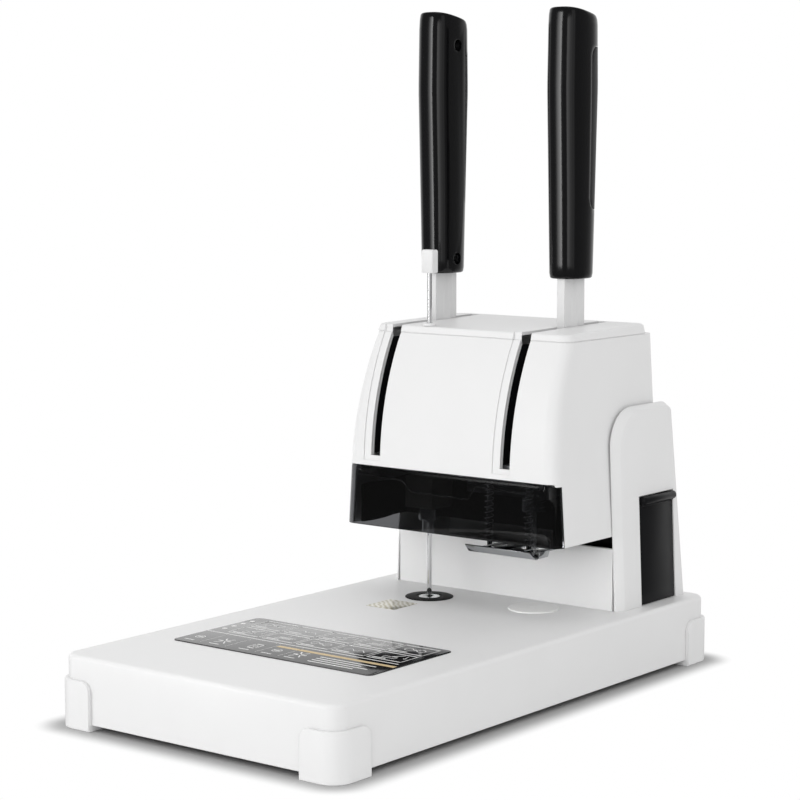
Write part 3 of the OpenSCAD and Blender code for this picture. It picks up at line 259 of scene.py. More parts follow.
def make_grain_group():
    """Moulded grain: a fine noise for the height and a slow cloud for the mask."""
    tree, given = group_with("moulded grain", [("Grain Size", 0.0006), ("Cloud Size", 0.05),
                                               ("Edge Radius", 0.0005), ("Depth", 0.1)])
    place = add(tree, "ShaderNodeTexCoord").outputs["Object"]
    grain = noise(tree, place, given["Grain Size"], 3.0, 0.6)
    return end_group(tree, given, noise(tree, place, given["Cloud Size"], 2.0, 0.5), grain, 0.0001)


def finish(name, group, settings, colours, gloss, **sockets):
    """A material whose tone and roughness follow the mask of a surface group."""
    material = bpy.data.materials.new(name)
    material.use_nodes = True
    tree = material.node_tree
    surface = add(tree, "ShaderNodeGroup", node_tree=group, **settings).outputs
    rough = add(tree, "ShaderNodeMapRange", Value=surface["Mask"], To_Min=gloss[0], To_Max=gloss[1])
    tone = add(tree, "ShaderNodeMix", data_type="RGBA", Factor=surface["Mask"], A=colours[0],
               B=colours[1])
    fill(tree.nodes["Principled BSDF"], Roughness=rough.outputs[0], Normal=surface["Normal"],
         Base_Color=tone.outputs["Result"], **sockets)
    return material


def tones(colour, play):
    """The darkest and the lightest tone of a colour that drifts."""
    return [tuple(min(1, c * (1 + way * play)) for c in colour) + (1,) for way in (-1, 1)]


GRAIN = make_grain_group()


def shade(name, colour, rough, rough_play=0.06, tint=0.02, grain=0.0006, depth=0.1, edge=0.0005,
          **sockets):
    """A moulded or painted finish: its colour and gloss drift a little over the surface."""
    return finish(name, GRAIN, dict(Grain_Size=grain, Edge_Radius=edge, Depth=depth),
                  tones(colour, tint), (max(0.02, rough - rough_play), rough + rough_play),
                  **sockets)


def arc(x, y, radius, start, end, steps, radius_y=None):
    """Points of an arc from start to end, in degrees, with both of its ends."""
    turns = [math.radians(start + (end - start) * i / steps) for i in range(steps + 1)]
    return [(x + radius * math.cos(turn), y + (radius_y or radius) * math.sin(turn))
            for turn in turns]


def circle(steps, radius=1.0):
    """Points of a full circle round the origin."""
    turns = [2 * math.pi * i / steps for i in range(steps)]
    return [(radius * math.cos(turn), radius * math.sin(turn)) for turn in turns]


def rounded_ring(low, high, radius, z, steps, inset=0.0):
    """Points of a rounded rectangle at height z, counter-clockwise from above."""
    radius = max(radius, LEAST_RADIUS)
    (x0, x1), (y0, y1) = [(low[k] + inset + radius, high[k] - inset - radius) for k in (0, 1)]
    points = []
    for quarter, (x, y) in enumerate(((x1, y1), (x0, y1), (x0, y0), (x1, y0))):
        points += arc(x, y, radius, 90 * quarter, 90 * quarter + 90, steps)
    return [(x, y, z) for x, y in points]


def bar(low, high, radius=0.0, edge=0.0, steps=6, edge_steps=4):
    """Rings of an upright block whose corners and upper edge are rounded."""
    radius = min(radius, (high[0] - low[0]) / 2, (high[1] - low[1]) / 2)
    rings = [rounded_ring(low, high, radius, low[2], steps)]
    if edge <= 0:
        return rings + [rounded_ring(low, high, radius, high[2], steps)]
    for inset, z in arc(edge, high[2] - edge, edge, 180, 90, edge_steps):
        rings.append(rounded_ring(low, high, radius - inset, z, steps, inset))
    return rings


def round_rings(centre, profile, z=0.0, steps=48):
    """Rings of an upright turned part from its (radius, height) profile."""
    return [[(centre[0] + x, centre[1] + y, z + h) for x, y in circle(steps, r)]
            for r, h in profile]


def loft(bm, rings, closed=False, unit=1):
    """Skins a row of rings with the same count of points. The row has ends or is a loop."""
    rows = [[bm.verts.new([unit * value for value in point]) for point in ring] for ring in rings]
    for low, high in list(zip(rows, rows[1:])) + ([(rows[-1], rows[0])] if closed else []):
        for i in range(len(low)):
            j = (i + 1) % len(low)
            bm.faces.new((low[i], low[j], high[j], high[i]))
    if not closed:
        bm.faces.new(list(reversed(rows[0])))
        bm.faces.new(rows[-1])


def turn_outwards(bm):
    bmesh.ops.recalc_face_normals(bm, faces=bm.faces)
    return bm


def new_piece(name, bm, material, unit=MM):
    """Turns a bmesh, drawn in the given unit, into a scene object with one material."""
    mesh = bpy.data.meshes.new(name)
    bm.transform(Matrix.Scale(unit, 4))
    bm.to_mesh(mesh)
    bm.free()
    mesh.materials.append(material)
    return put_in_scene(name, mesh)


def lofted(name, rings, material, closed=False):
    bm = bmesh.new()
    loft(bm, rings, closed, MM)
    return new_piece(name, turn_outwards(bm), material, 1)


WHITE = shade("white satin plastic", (0.80, 0.80, 0.80), 0.38, grain=0.0005, depth=0.06,
              edge=0.0006, Specular_IOR_Level=0.35)


def tool(rings, closed=False):
    """A solid that only serves to cut."""
    return lofted("tool", rings, WHITE, closed)


def block(low, high, radius=0.0, steps=4):
    return tool(bar(low, high, radius, steps=steps))


def drill(centre, radius, low, high, steps=48):
    return tool(round_rings(centre, [(radius, low), (radius, high)], steps=steps))


def clean(obj, angle=32):
    """Smooths a mesh over its gentle angles and keeps its corners."""
    for face in obj.data.polygons:
        face.use_smooth = True
    obj.data.set_sharp_from_angle(angle=math.radians(angle))
    return obj


def settle(obj):
    """Makes the modifiers part of the mesh."""
    bpy.context.view_layer.update()
    graph = bpy.context.evaluated_depsgraph_get()
    old = obj.data
    fresh = bpy.data.meshes.new_from_object(obj.evaluated_get(graph), depsgraph=graph)
    obj.modifiers.clear()
    obj.data = fresh
    fresh.name = obj.name
    bpy.data.meshes.remove(old)
    return obj


def cut(obj, *tools, operation="DIFFERENCE"):
    """Cuts tool solids out of obj for good and removes the tools."""
    for solid in tools:
        modifier = obj.modifiers.new("cut", "BOOLEAN")
        modifier.operation, modifier.solver, modifier.object = operation, "EXACT", solid
    settle(obj)
    for solid in tools:
        bpy.data.objects.remove(solid)
    return obj


def fitted(obj, body, slot, *nodes):
    """Puts a piece on its body, in place of the CAD nodes named; its slot is not used."""
    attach(obj, body)
    if nodes:
        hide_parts(*nodes)
    return obj


def make_base_lid():
    half, wall = (BASE_W / 2, BASE_L / 2), BASE_WALL
    outer = bar((-half[0], -half[1], BASE_LOW), (*half, BASE_TOP), BASE_CORNER, BASE_EDGE, 14, 8)
    inner = bar((wall - half[0], wall - half[1], BASE_LOW),
                (half[0] - wall, half[1] - wall, BASE_TOP - wall), BASE_CORNER - wall, 1, 14, 8)
    lid = lofted("base_lid", list(reversed(outer)) + inner, WHITE)
    low, high = BASE_TOP - 2 * wall, BASE_TOP + 1
    cut(lid, drill(RIVET_XY, DIE_HOLE_R, low, high, 64), drill(DRILL_XY, PAD_HOLE_R, low, high, 96),
        block((*POST_LOW, low), (*POST_HIGH, high), steps=6))
    fitted(clean(lid, 25), "frame", "white_plastic", "base_cover")


make_base_lid()

# ---- Underside ---------------------------------------------------------------
# A black floor panel closes the base from below, held by eight countersunk
# screws. It has rows of cooling slots, and four rubber feet stand beside them.

BLACK = shade("black moulded plastic", (0.009, 0.009, 0.010), 0.34, grain=0.0004, depth=0.12,
              edge=0.0004, Specular_IOR_Level=0.14)
RUBBER = shade("black rubber", (0.028, 0.028, 0.030), 0.78, rough_play=0.08, tint=0.15,
               grain=0.0009, depth=0.35, Specular_IOR_Level=0.25)
FLOOR_T, FLOOR_GAP = 3, 0.3
COOLING_SLOT, COOLING_PITCH, COOLING_YS = (1.2, 15), 7, (-40, 10)
FLOOR_SCREW_XS, FLOOR_SCREW_YS = (-104, 104), (-165, -60, 60, 165)
FOOT_X, FOOT_Y = 95, 199.5
FOOT_PROFILE = ((0.01, 1.2), (6.4, 1.2), (7.0, 0.5), (7.6, 0), (8.6, 0), (9.6, 0.4), (10, 1.1),
                (10, 4.6), (0.01, 4.6))


def make_brushed_group():
    """Drawn or turned metal: fine lines, stretched along the axes of the object."""
    tree, given = group_with("brushed lines", [("Along", (1.0, 1.0, 1.0)), ("Line Size", 0.0012),
                                               ("Edge Radius", 0.0002), ("Depth", 0.12)])
    place = add(tree, "ShaderNodeTexCoord").outputs["Object"]
    stretched = add(tree, "ShaderNodeVectorMath", place, given["Along"], operation="DIVIDE")
    lines = noise(tree, stretched.outputs[0], given["Line Size"], 4.0, 0.7)
    return end_group(tree, given, lines, lines, 0.00008)


BRUSHED = make_brushed_group()


def metal(name, colour, rough, play=0.08, along=(1, 1, 1), size=0.001, depth=0.12, tint=0.12):
    """A metal whose gloss and tone follow its brushed lines."""
    return finish(name, BRUSHED, dict(Along=along, Line_Size=size, Depth=depth),
                  tones(colour, tint), (max(0.03, rough - play), rough + play), Metallic=1.0)


SCREW_STEEL = metal("zinc screw steel", (0.50, 0.50, 0.52), 0.34, size=0.0006)


def make_scatter_tree():
    """Puts one real copy of a shape, in its finish, on each vertex of a mesh of places."""
    tree = bpy.data.node_groups.new("copies on places", "GeometryNodeTree")
    for label, kind in (("Geometry", "Geometry"), ("Object", "Object"), ("Size", "Float"),
                        ("Material", "Material")):
        tree.interface.new_socket(label, in_out="INPUT", socket_type="NodeSocket" + kind)
    tree.interface.new_socket("Geometry", in_out="OUTPUT", socket_type="NodeSocketGeometry")
    given = tree.nodes.new("NodeGroupInput").outputs
    shape = add(tree, "GeometryNodeObjectInfo", given["Object"]).outputs["Geometry"]
    place = add(tree, "GeometryNodeInstanceOnPoints", Points=given["Geometry"], Instance=shape,
                Scale=given["Size"])
    real = add(tree, "GeometryNodeRealizeInstances", place.outputs[0])
    paint = add(tree, "GeometryNodeSetMaterial", Geometry=real.outputs[0],
                Material=given["Material"])
    add(tree, "NodeGroupOutput", paint.outputs[0])
    return tree


SCATTER = make_scatter_tree()


def copies(name, shape, places):
    """Copies of a shape, which stands at the origin, on a list of places, as one mesh."""
    mesh = bpy.data.meshes.new(name)
    mesh.from_pydata([Vector(place) * MM for place in places], [], [])
    made = put_in_scene(name, mesh)
    modifier = made.modifiers.new("copies", "NODES")
    modifier.node_group = SCATTER
    values = {"Object": shape, "Size": 1.0, "Material": shape.data.materials[0]}
    for item in SCATTER.interface.items_tree:
        if item.in_out == "INPUT" and item.name in values:
            modifier[item.identifier] = values[item.name]
    settle(made)
    bpy.data.objects.remove(shape)
    return made


def moved(obj, matrix):
    obj.data.transform(matrix)
    return obj


def hexagon(turn):
    """Reach of a hexagon in a direction, as a share of its corners' reach."""
    return math.cos(math.pi / 6) / math.cos(turn % (math.pi / 3) - math.pi / 6)


def screws(name, radius, height, turn, places, body, *nodes, into=Matrix()):
    """Screw heads with a hexagon socket, turned, on their places and moved into a frame."""
    steps = 24
    profile = [(0.6, 0), (1, 0), (1, 0.75), (0.93, 0.93), (0.84, 1), (0.50, 1)]
    rings = round_rings((0, 0), [(radius * r, height * h) for r, h in profile], steps=steps)
    reach = [radius * 0.46 * hexagon(2 * math.pi * i / steps) for i in range(steps)]
    rings += [[(x * r, y * r, z) for (x, y), r in zip(circle(steps), reach)]
              for z in (height, height * 0.45)]
    head = moved(clean(lofted("screw", rings, SCREW_STEEL), 30), turn)
    fitted(moved(copies(name, head, places), into), body, "screw_steel", *nodes)


def make_floor_panel():
    inset = BASE_WALL + FLOOR_GAP
    half = (BASE_W / 2 - inset, BASE_L / 2 - inset)
    rings = bar((-half[0], -half[1], BASE_LOW), (*half, BASE_LOW + FLOOR_T), BASE_CORNER - inset,
                steps=12)
    panel = lofted("floor_panel", rings, BLACK)
    half_w, half_l = COOLING_SLOT
    slot = block((-half_w, -half_l, -1), (half_w, half_l, FLOOR_T + 1), half_w, steps=6)
    places = [(COOLING_PITCH * k, y, BASE_LOW) for k in range(-4, 5) for y in COOLING_YS]
    cut(panel, copies("cooling slots", slot, places))
    fitted(clean(panel), "frame", "black_plastic", "base_floor")


def make_feet():
    foot = clean(lofted("foot", round_rings((0, 0), FOOT_PROFILE, steps=40), RUBBER), 30)
    places = [(FOOT_X * x, FOOT_Y * y, 0) for x in (-1, 1) for y in (-1, 1)]
    fitted(copies("feet", foot, places), "frame", "rubber", "rubber_feet")


make_floor_panel()
screws("floor_screws", 3.2, 1.4, Matrix.Rotation(math.pi, 4, "X"),
       [(x, y, BASE_LOW + 0.1) for x in FLOOR_SCREW_XS for y in FLOOR_SCREW_YS], "frame")
make_feet()

# ---- Steel bed and control board ---------------------------------------------
# Under the lid a zinc plated steel bed carries the lower die, the cutting pad and
# the post of the column. The board that heats the die lies in front of it.

ZINC = metal("zinc plated steel", (0.55, 0.56, 0.56), 0.42, size=0.02, depth=0.05, tint=0.2)
BOARD_GREEN = shade("green circuit board", (0.02, 0.10, 0.045), 0.35, grain=0.0015, depth=0.4,
                    tint=0.25)


def refine(*rows):
    """CAD nodes' own shapes, merged, smooth over their arcs, in their finishes."""
    for node, body, material, slot in rows:
        bm = bmesh.new()
        bm.from_mesh(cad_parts[node].data)
        bmesh.ops.remove_doubles(bm, verts=bm.verts, dist=1e-6)
        bmesh.ops.dissolve_limit(bm, angle_limit=math.radians(0.4), verts=bm.verts, edges=bm.edges)
        bmesh.ops.triangulate(bm, faces=[f for f in bm.faces if len(f.verts) > 4])
        piece = new_piece(node + "_finished", bm, material, 1)
        fitted(clean(piece, 30), body, slot, node)


refine(("base_bed", "frame", ZINC, "zinc_sheet"), ("control_board", "frame", BOARD_GREEN, "board"))

# ---- Corner guards -----------------------------------------------------------
# Each corner of the base stands in a separate white guard, clipped on from
# outside. The guard turns in under the base, and its upper corners are round.

GUARD_T, GUARD_H, GUARD_ROUND = 3, 35, 8
GUARD_WRAP = (32, 35)
GUARD_SOLE, GUARD_PLAY, GUARD_SOFT = 11.4, 0.05, 1


def guard_path(steps=16, ends=9):
    """Places along the front right corner: point, outward direction, way from the near end."""
    reach_x, reach_y = [wrap - BASE_CORNER - GUARD_T for wrap in GUARD_WRAP]
    centre = Vector((BASE_W / 2 - BASE_CORNER, -BASE_L / 2 + BASE_CORNER, 0))
    stops = [x for x, _ in arc(GUARD_ROUND, 0, GUARD_ROUND, 180, 90, ends)]
    front = [(centre + Vector((s - reach_x, -BASE_CORNER, 0)), Vector((0, -1, 0)), s)
             for s in stops]
    side = [(centre + Vector((BASE_CORNER, reach_y - s, 0)), Vector((1, 0, 0)), s) for s in stops]
    outs = [Vector((x, y, 0)) for x, y in arc(0, 0, 1, -90, 0, steps)]
    return front + [(centre + BASE_CORNER * out, out, GUARD_ROUND) for out in outs] + side[::-1]


def guard_section(height):
    """Section of a guard, as (distance outwards, height) points."""
    face, sole_top = GUARD_T - GUARD_SOFT, BASE_LOW - GUARD_PLAY
    return ([(-GUARD_SOLE, 0)] + arc(face, GUARD_SOFT, GUARD_SOFT, -90, 0, 4) +
            arc(face, height - GUARD_SOFT, GUARD_SOFT, 0, 90, 4) +
            [(GUARD_PLAY, height), (GUARD_PLAY, sole_top), (-GUARD_SOLE, sole_top)])


def make_guard(name, node, side_x, side_y):
    rings = []
    for point, out, way in guard_path():
        height = GUARD_H - GUARD_ROUND + math.sqrt(GUARD_ROUND ** 2 - (GUARD_ROUND - way) ** 2)
        rings.append([point + out * away + Vector((0, 0, z)) for away, z in guard_section(height)])
    bm = bmesh.new()
    loft(bm, rings)
    bm.transform(Matrix.Diagonal((side_x, -side_y, 1, 1)))
    bmesh.ops.remove_doubles(bm, verts=bm.verts, dist=0.001)
    piece = new_piece(name, turn_outwards(bm), WHITE)
    fitted(clean(piece, 28), "frame", "white_plastic", node)


for side_x, hand in ((-1, "left"), (1, "right")):
    for side_y, end in ((-1, "front"), (1, "back")):
        make_guard(f"corner_guard_{end}_{hand}", f"guard_{end}_{hand}", side_x, side_y)

# ---- Instruction plate -------------------------------------------------------
# A glossy black plate is stuck on the lid in front of the work. Its print is a
# strip of small signs, a gold line and two rows of framed working steps.

PLATE_SIZE, PLATE_MIDDLE = (183, 94), (-1.5, -105)
PLATE_T, PLATE_CORNER, PLATE_EDGE = 0.6, 5, 0.25
PRINT_T, LINE_W, FINE_W = 0.03, 0.7, 0.4
BARB = 2.2
LABEL_BLACK = shade("glossy black print film", (0.012, 0.012, 0.013), 0.09, rough_play=0.02,
                    grain=0.004, depth=0.01, edge=0.0002, Specular_IOR_Level=0.42)
PRINT_WHITE = shade("white screen print", (0.88, 0.88, 0.87), 0.45)
PRINT_GOLD = shade("gold screen print", (0.62, 0.46, 0.22), 0.35)
# Strokes of the four kinds of step, each round the middle of its frame. They go across
# in shares of the plate's width and up in shares of the frame's height.
STEP_SKETCHES = (
    (("frame", -0.035, -0.2, 0.025, 0, FINE_W), ("line", -0.005, 0, 0.03, 0.38, LINE_W),
     ("arrow", 0.05, 0.35, 0.06, -0.05, FINE_W)),
    (("line", -0.045, -0.15, 0.035, -0.15, FINE_W), ("line", -0.039, -0.05, 0.041, -0.05, FINE_W),
     ("line", -0.033, 0.05, 0.047, 0.05, FINE_W), ("arrow", 0, 0.4, 0, 0.16, FINE_W)),
    (("ring", -0.03, 0.05, 3.2), ("ring", 0.03, 0.05, 3.2),
     ("line", -0.012, 0.05, 0.012, 0.05, LINE_W)),
    (("line", -0.05, -0.12, -0.025, 0.12, 0.45), ("line", -0.025, 0.12, 0, -0.12, 0.45),
     ("line", 0, -0.12, 0.025, 0.12, 0.45), ("line", 0.025, 0.12, 0.05, -0.12, 0.45)),
)
STEP_ROWS = ((0.46, 0.67), (0.72, 0.94))
STEP_COLUMNS, STEP_LEFT, STEP_PITCH, STEP_GAP = 5, 0.075, 0.178, 0.008
SIGN_PLACES = (0.06, 0.19, 0.345, 0.46, 0.575)


def centred(middle, size, bottom, height):
    """Lowest and highest corner of a block round a middle in plan."""
    return ((middle[0] - size[0] / 2, middle[1] - size[1] / 2, bottom),
            (middle[0] + size[0] / 2, middle[1] + size[1] / 2, bottom + height))


def shaped(name, rings, material, body, slot, *nodes, angle=32, closed=False):
    """A piece that is one skin, smoothed and put in its place."""
    return fitted(clean(lofted(name, rings, material, closed), angle), body, slot, *nodes)


class Print:
    """Flat lines of ink on the plate. Places are shares of the plate's width and length."""

    def __init__(self):
        self.bm = bmesh.new()
        self.levels = (BASE_TOP + PLATE_T - PRINT_T / 3, BASE_TOP + PLATE_T + PRINT_T)

    def at(self, u, v):
        return Vector([middle + (share - 0.5) * size
                       for middle, share, size in zip(PLATE_MIDDLE, (u, v), PLATE_SIZE)])

    def patch(self, corners):
        loft(self.bm, [[Vector((p[0], p[1], z)) for p in corners] for z in self.levels])

    def stroke(self, a, b, width):
        """A bar from a to b, thicker along the plate than across it, as the view flattens it."""
        along = (b - a).normalized() * width / 2
        across = Vector((-along.y * 1.2, along.x * 2.2))
        self.patch([a - along - across, b + along - across, b + along + across, a - along + across])

    def line(self, u0, v0, u1, v1, width=LINE_W):
        self.stroke(self.at(u0, v0), self.at(u1, v1), width)

    def frame(self, u0, v0, u1, v1, width=LINE_W):
        corners = [self.at(u, v) for u, v in ((u0, v0), (u1, v0), (u1, v1), (u0, v1))]
        for a, b in zip(corners, corners[1:] + corners[:1]):
            self.stroke(a, b, width)

    def arrow(self, u0, v0, u1, v1, width=LINE_W):
        a, b = self.at(u0, v0), self.at(u1, v1)
        self.stroke(a, b, width)
        for turn in (35, -35):
            barb = (a - b).normalized() * BARB
            barb.rotate(Matrix.Rotation(math.radians(turn), 2))
            self.stroke(b, b + barb, width)

    def ring(self, u, v, radius, width=LINE_W, steps=20):
        middle = self.at(u, v)
        inner, outer = [[middle + Vector(p) for p in circle(steps, radius + way * width / 2)]
                        for way in (-1, 1)]
        for i in range(steps):
            j = (i + 1) % steps
            self.patch([inner[i], outer[i], outer[j], inner[j]])

    def dot(self, u, v, radius, steps=16):
        middle = self.at(u, v)
        self.patch([middle + Vector(p) for p in circle(steps, radius)])

    def done(self, name, material):
        return fitted(new_piece(name, self.bm, material), "frame", "label_black")


def make_plate():
    low, high = centred(PLATE_MIDDLE, PLATE_SIZE, BASE_TOP, PLATE_T)
    shaped("instruction_panel", bar(low, high, PLATE_CORNER, PLATE_EDGE, 12, 3), LABEL_BLACK,
           "frame", "label_black", "instruction_plate", angle=40)


def print_steps(ink):
    """Two rows of framed steps: a lever, a stack, an arrow and a few plain bars in each."""
    ways = {"frame": ink.frame, "line": ink.line, "arrow": ink.arrow}
    for row, (v0, v1) in enumerate(STEP_ROWS):
        for k in range(STEP_COLUMNS):
            u0 = STEP_LEFT + k * STEP_PITCH + STEP_GAP
            u1 = STEP_LEFT + (k + 1) * STEP_PITCH - STEP_GAP
            ink.frame(u0, v0, u1, v1, 0.6)
            u, v, tall = (u0 + u1) / 2, (v0 + v1) / 2, v1 - v0
            for kind, du, dv, *rest in STEP_SKETCHES[(k + 2 * row) % 4]:
                if kind == "ring":
                    ink.ring(u + du, v + dv * tall, *rest)
                else:
                    ways[kind](u + du, v + dv * tall, u + rest[0], v + rest[1] * tall, rest[2])
            ink.line(u0 + 0.014, v0 + 0.15 * tall, u0 + 0.075, v0 + 0.15 * tall)


def print_signs(ink):
    """The front strip: four dots, five simple signs and a block of plain bars."""
    for k in range(4):
        ink.dot(0.032, 0.535 + 0.107 * k, 2.1)
    ink.line(0.0, 0.40, 0.97, 0.40, 0.6)
    for k, u in enumerate(SIGN_PLACES):
        if k % 3 == 0:
            ink.ring(u, 0.2, 3.6)
            ink.line(u - 0.014, 0.2, u + 0.014, 0.2)
        elif k % 3 == 1:
            ink.line(u - 0.025, 0.13, u + 0.02, 0.27)
            ink.line(u - 0.02, 0.27, u + 0.025, 0.13)
            ink.line(u - 0.03, 0.2, u + 0.03, 0.2)
        else:
            ink.frame(u - 0.02, 0.15, u + 0.02, 0.27)
            ink.ring(u, 0.21, 1.7)
        if k < 4:
            ink.line(u + 0.062, 0.07, u + 0.062, 0.36, 0.35)
        ink.line(u - 0.028, 0.085, u + 0.02, 0.085, 0.6)
    for k in range(4):
        ink.line(0.665, 0.235 - 0.05 * k, 0.93 - 0.05 * (k % 2), 0.235 - 0.05 * k)


make_plate()
white_ink = Print()
print_steps(white_ink)
print_signs(white_ink)
white_ink.done("white_print", PRINT_WHITE)
gold_ink = Print()
gold_ink.line(0.42, 0.315, 0.985, 0.315, 2.0)
gold_ink.done("gold_print", PRINT_GOLD)

# ---- Foil patch --------------------------------------------------------------
# A small square of silver and gold foil is stuck on the lid beside the die. Its
# fine ruled pattern breaks the light up into bands.

FOIL_SIZE, FOIL_MIDDLE, FOIL_T = (27.5, 30), (-45.7, 43.5), 0.2
FOIL_TONES = ((0.42, 0.38, 0.26, 1), (0.74, 0.72, 0.66, 1), (0.58, 0.56, 0.48, 1))


def foil_finish():
    material = bpy.data.materials.new("ruled foil")
    material.use_nodes = True
    tree = material.node_tree
    bands = add(tree, "ShaderNodeTexWave", bands_direction="DIAGONAL", Scale=120.0, Distortion=4.0,
                Detail=2.0, Vector=add(tree, "ShaderNodeTexCoord").outputs["Object"]).outputs
    tone = add(tree, "ShaderNodeValToRGB", bands["Color"])
    stops = tone.color_ramp.elements
    stops.new(0.5)
    stops[0].color, stops[2].color, stops[1].color = FOIL_TONES
    bump = add(tree, "ShaderNodeBump", Strength=0.15, Distance=0.0001, Height=bands["Fac"])
    fill(tree.nodes["Principled BSDF"], Metallic=1.0, Roughness=0.3, Base_Color=tone.outputs[0],
         Normal=bump.outputs[0])
    return material


def make_foil():
    low, high = centred(FOIL_MIDDLE, FOIL_SIZE, BASE_TOP, FOIL_T)
    shaped("foil_square", bar(low, high, 1, 0.05, 6, 2), foil_finish(), "frame", "foil",
           "foil_patch", angle=40)


make_foil()

# ---- Riveting point ----------------------------------------------------------
# The lower die is a hardened steel button in a black ring that is let into the
# lid. Its cup takes the tip of the guide rod and flares the foot of the rivet.

POLISHED = metal("polished steel", (0.66, 0.67, 0.68), 0.16, play=0.05, size=0.004, depth=0.03,
                 tint=0.05)
RING_BLACK = shade("blackened die ring", (0.006, 0.006, 0.006), 0.5, grain=0.0005, depth=0.08,
                   Specular_IOR_Level=0.06)
DIE_RISE = 0.6
RING_PROFILE = ((8.55, -8), (16.95, -8), (16.95, 0), (19, 0), (19, 0.25), (18.8, 0.45), (18.4, 0.6),
                (10.6, 0.6), (10.2, 0.2), (8.9, 0.2), (8.55, 0.45))
BUTTON_PROFILE = ((0.01, -5), (2.2, -5), (2.6, -4.6), (2.6, -1.2), (4.4, -0.35), (4.8, -0.1),
                  (5.2, 0), (7.6, 0), (8.2, -0.2), (8.5, -0.6), (8.5, -8.6), (0.01, -8.6))

shaped("die_ring", round_rings(RIVET_XY, RING_PROFILE, BASE_TOP, 96), RING_BLACK, "frame",
       "black_plastic", "lower_die_ring", closed=True)
shaped("die_button", round_rings(RIVET_XY, BUTTON_PROFILE, BASE_TOP + DIE_RISE, 72), POLISHED,
       "frame", "bright_steel", "lower_die")

# ---- Cutting pad -------------------------------------------------------------
# The hollow drill bites into a loose white disc of hard plastic. It lies in a
# round hole of the lid, turned by two small notches when one spot is worn.

# The pad is whiter than the lid to make up for the shade of the head over it: its own white with
# painted light.
PAD_WHITE_WITH_PAINTED_LIGHT = shade("white cutting pad", (0.93, 0.93, 0.92), 0.5, grain=0.0008, depth=0.2,
                    edge=0.0003)
PAD_R, PAD_LOW_Z, PAD_TOP_Z = 19.7, 49, 53
NOTCH_R, BITE_DEEP = 1.6, 0.25


def make_cutting_pad():
    low, top = PAD_LOW_Z, PAD_TOP_Z
    profile = [(0.35, low), (PAD_R, low), (PAD_R, top - 0.6), (PAD_R - 0.18, top - 0.18),
               (PAD_R - 0.6, top), (0.35, top)]
    # the pad's finish carries painted light against the head's shade
    pad = lofted("pad_disc", round_rings(DRILL_XY, profile, steps=120), PAD_WHITE_WITH_PAINTED_LIGHT)
    notches = [drill((DRILL_XY[0] + side * (PAD_R + 0.4), DRILL_XY[1]), NOTCH_R, low - 1,
                     top + 1, 24) for side in (-1, 1)]
    groove = [(2.5, -BITE_DEEP), (2.95, -BITE_DEEP), (3.0, 1), (2.4, 1)]
    cut(pad, *notches, tool(round_rings(DRILL_XY, groove, top), closed=True))
    fitted(clean(pad), "cutting_pad", "pad_white", "cutting_pad")


make_cutting_pad()

# ---- Column ------------------------------------------------------------------
# Two bevelled white cheeks stand on the lid and hold the head between them. A
# flat panel closes the column in front and a screwed cover behind.

CHEEK_LEAN = math.radians(2.5)
COLUMN_HALF, CHEEK_T = 110, 5.6
CHEEK_FRONT, CHEEK_TOP = 126.5, 206.5
CHEEK_BACK, CHEEK_BACK_LEAN = 218.5, 10.5
CHEEK_ROUND, CHEEK_BEVEL = 30, 7
CHEEK_LAYERS = (
    # place through the wall, how far front and top are drawn back, corner radius
    (-CHEEK_T, 0, CHEEK_ROUND),
    (-CHEEK_T + 0.9, 0, CHEEK_ROUND),
    (-CHEEK_T + 1.3, 0.25, CHEEK_ROUND),
    (-0.55, CHEEK_BEVEL - 0.9, CHEEK_ROUND - 2),
    (-0.15, CHEEK_BEVEL - 0.25, CHEEK_ROUND - 2),
    (0, CHEEK_BEVEL + 0.5, CHEEK_ROUND - 2),
)
PANEL_H, PANEL_T = 48, 3
BIN_Y, BIN_L, BIN_H, BIN_LIP = 157, 49.7, 78, 7


def spread(profile, xs):
    """Rings that repeat a (y, z) profile at some places along X."""
    return [[(x, y, z) for y, z in profile] for x in xs]


def join(name, *parts):
    """Joins separate solids into one piece."""
    bm = bmesh.new()
    material = parts[0].data.materials[0]
    for part in parts:
        bm.from_mesh(part.data)
        bpy.data.objects.remove(part)
    return new_piece(name, bm, material, 1)


def cheek_side(drawn_back, radius):
    """Side view of a cheek above the lid."""
    y0, z1 = CHEEK_FRONT + drawn_back, CHEEK_TOP - BASE_TOP - drawn_back / 2
    back_top = CHEEK_BACK - CHEEK_BACK_LEAN
    return ([(CHEEK_BACK, 0), (y0, 0)] + arc(y0 + radius, z1 - radius, radius, 180, 90, 18) +
            arc(back_top - 8, z1 - 5, 7, 90, 18, 4, radius_y=5))


def make_cheek(side):
    bm = bmesh.new()
    loft(bm, [spread(cheek_side(drawn_back, radius), [x])[0]
              for x, drawn_back, radius in CHEEK_LAYERS])
    lean = Matrix.Rotation(-CHEEK_LEAN, 4, "Y")
    bm.transform(Matrix.Translation((COLUMN_HALF, 0, BASE_TOP)) @ lean)
    bm.transform(Matrix.Diagonal((side, 1, 1, 1)))
    bmesh.ops.bisect_plane(bm, geom=bm.verts[:] + bm.edges[:] + bm.faces[:],
                           plane_co=(0, 0, BASE_TOP), plane_no=(0, 0, -1), clear_outer=True)
    bmesh.ops.edgeloop_fill(bm, edges=[e for e in bm.edges if e.is_boundary])
    return new_piece("cheek", turn_outwards(bm), WHITE)


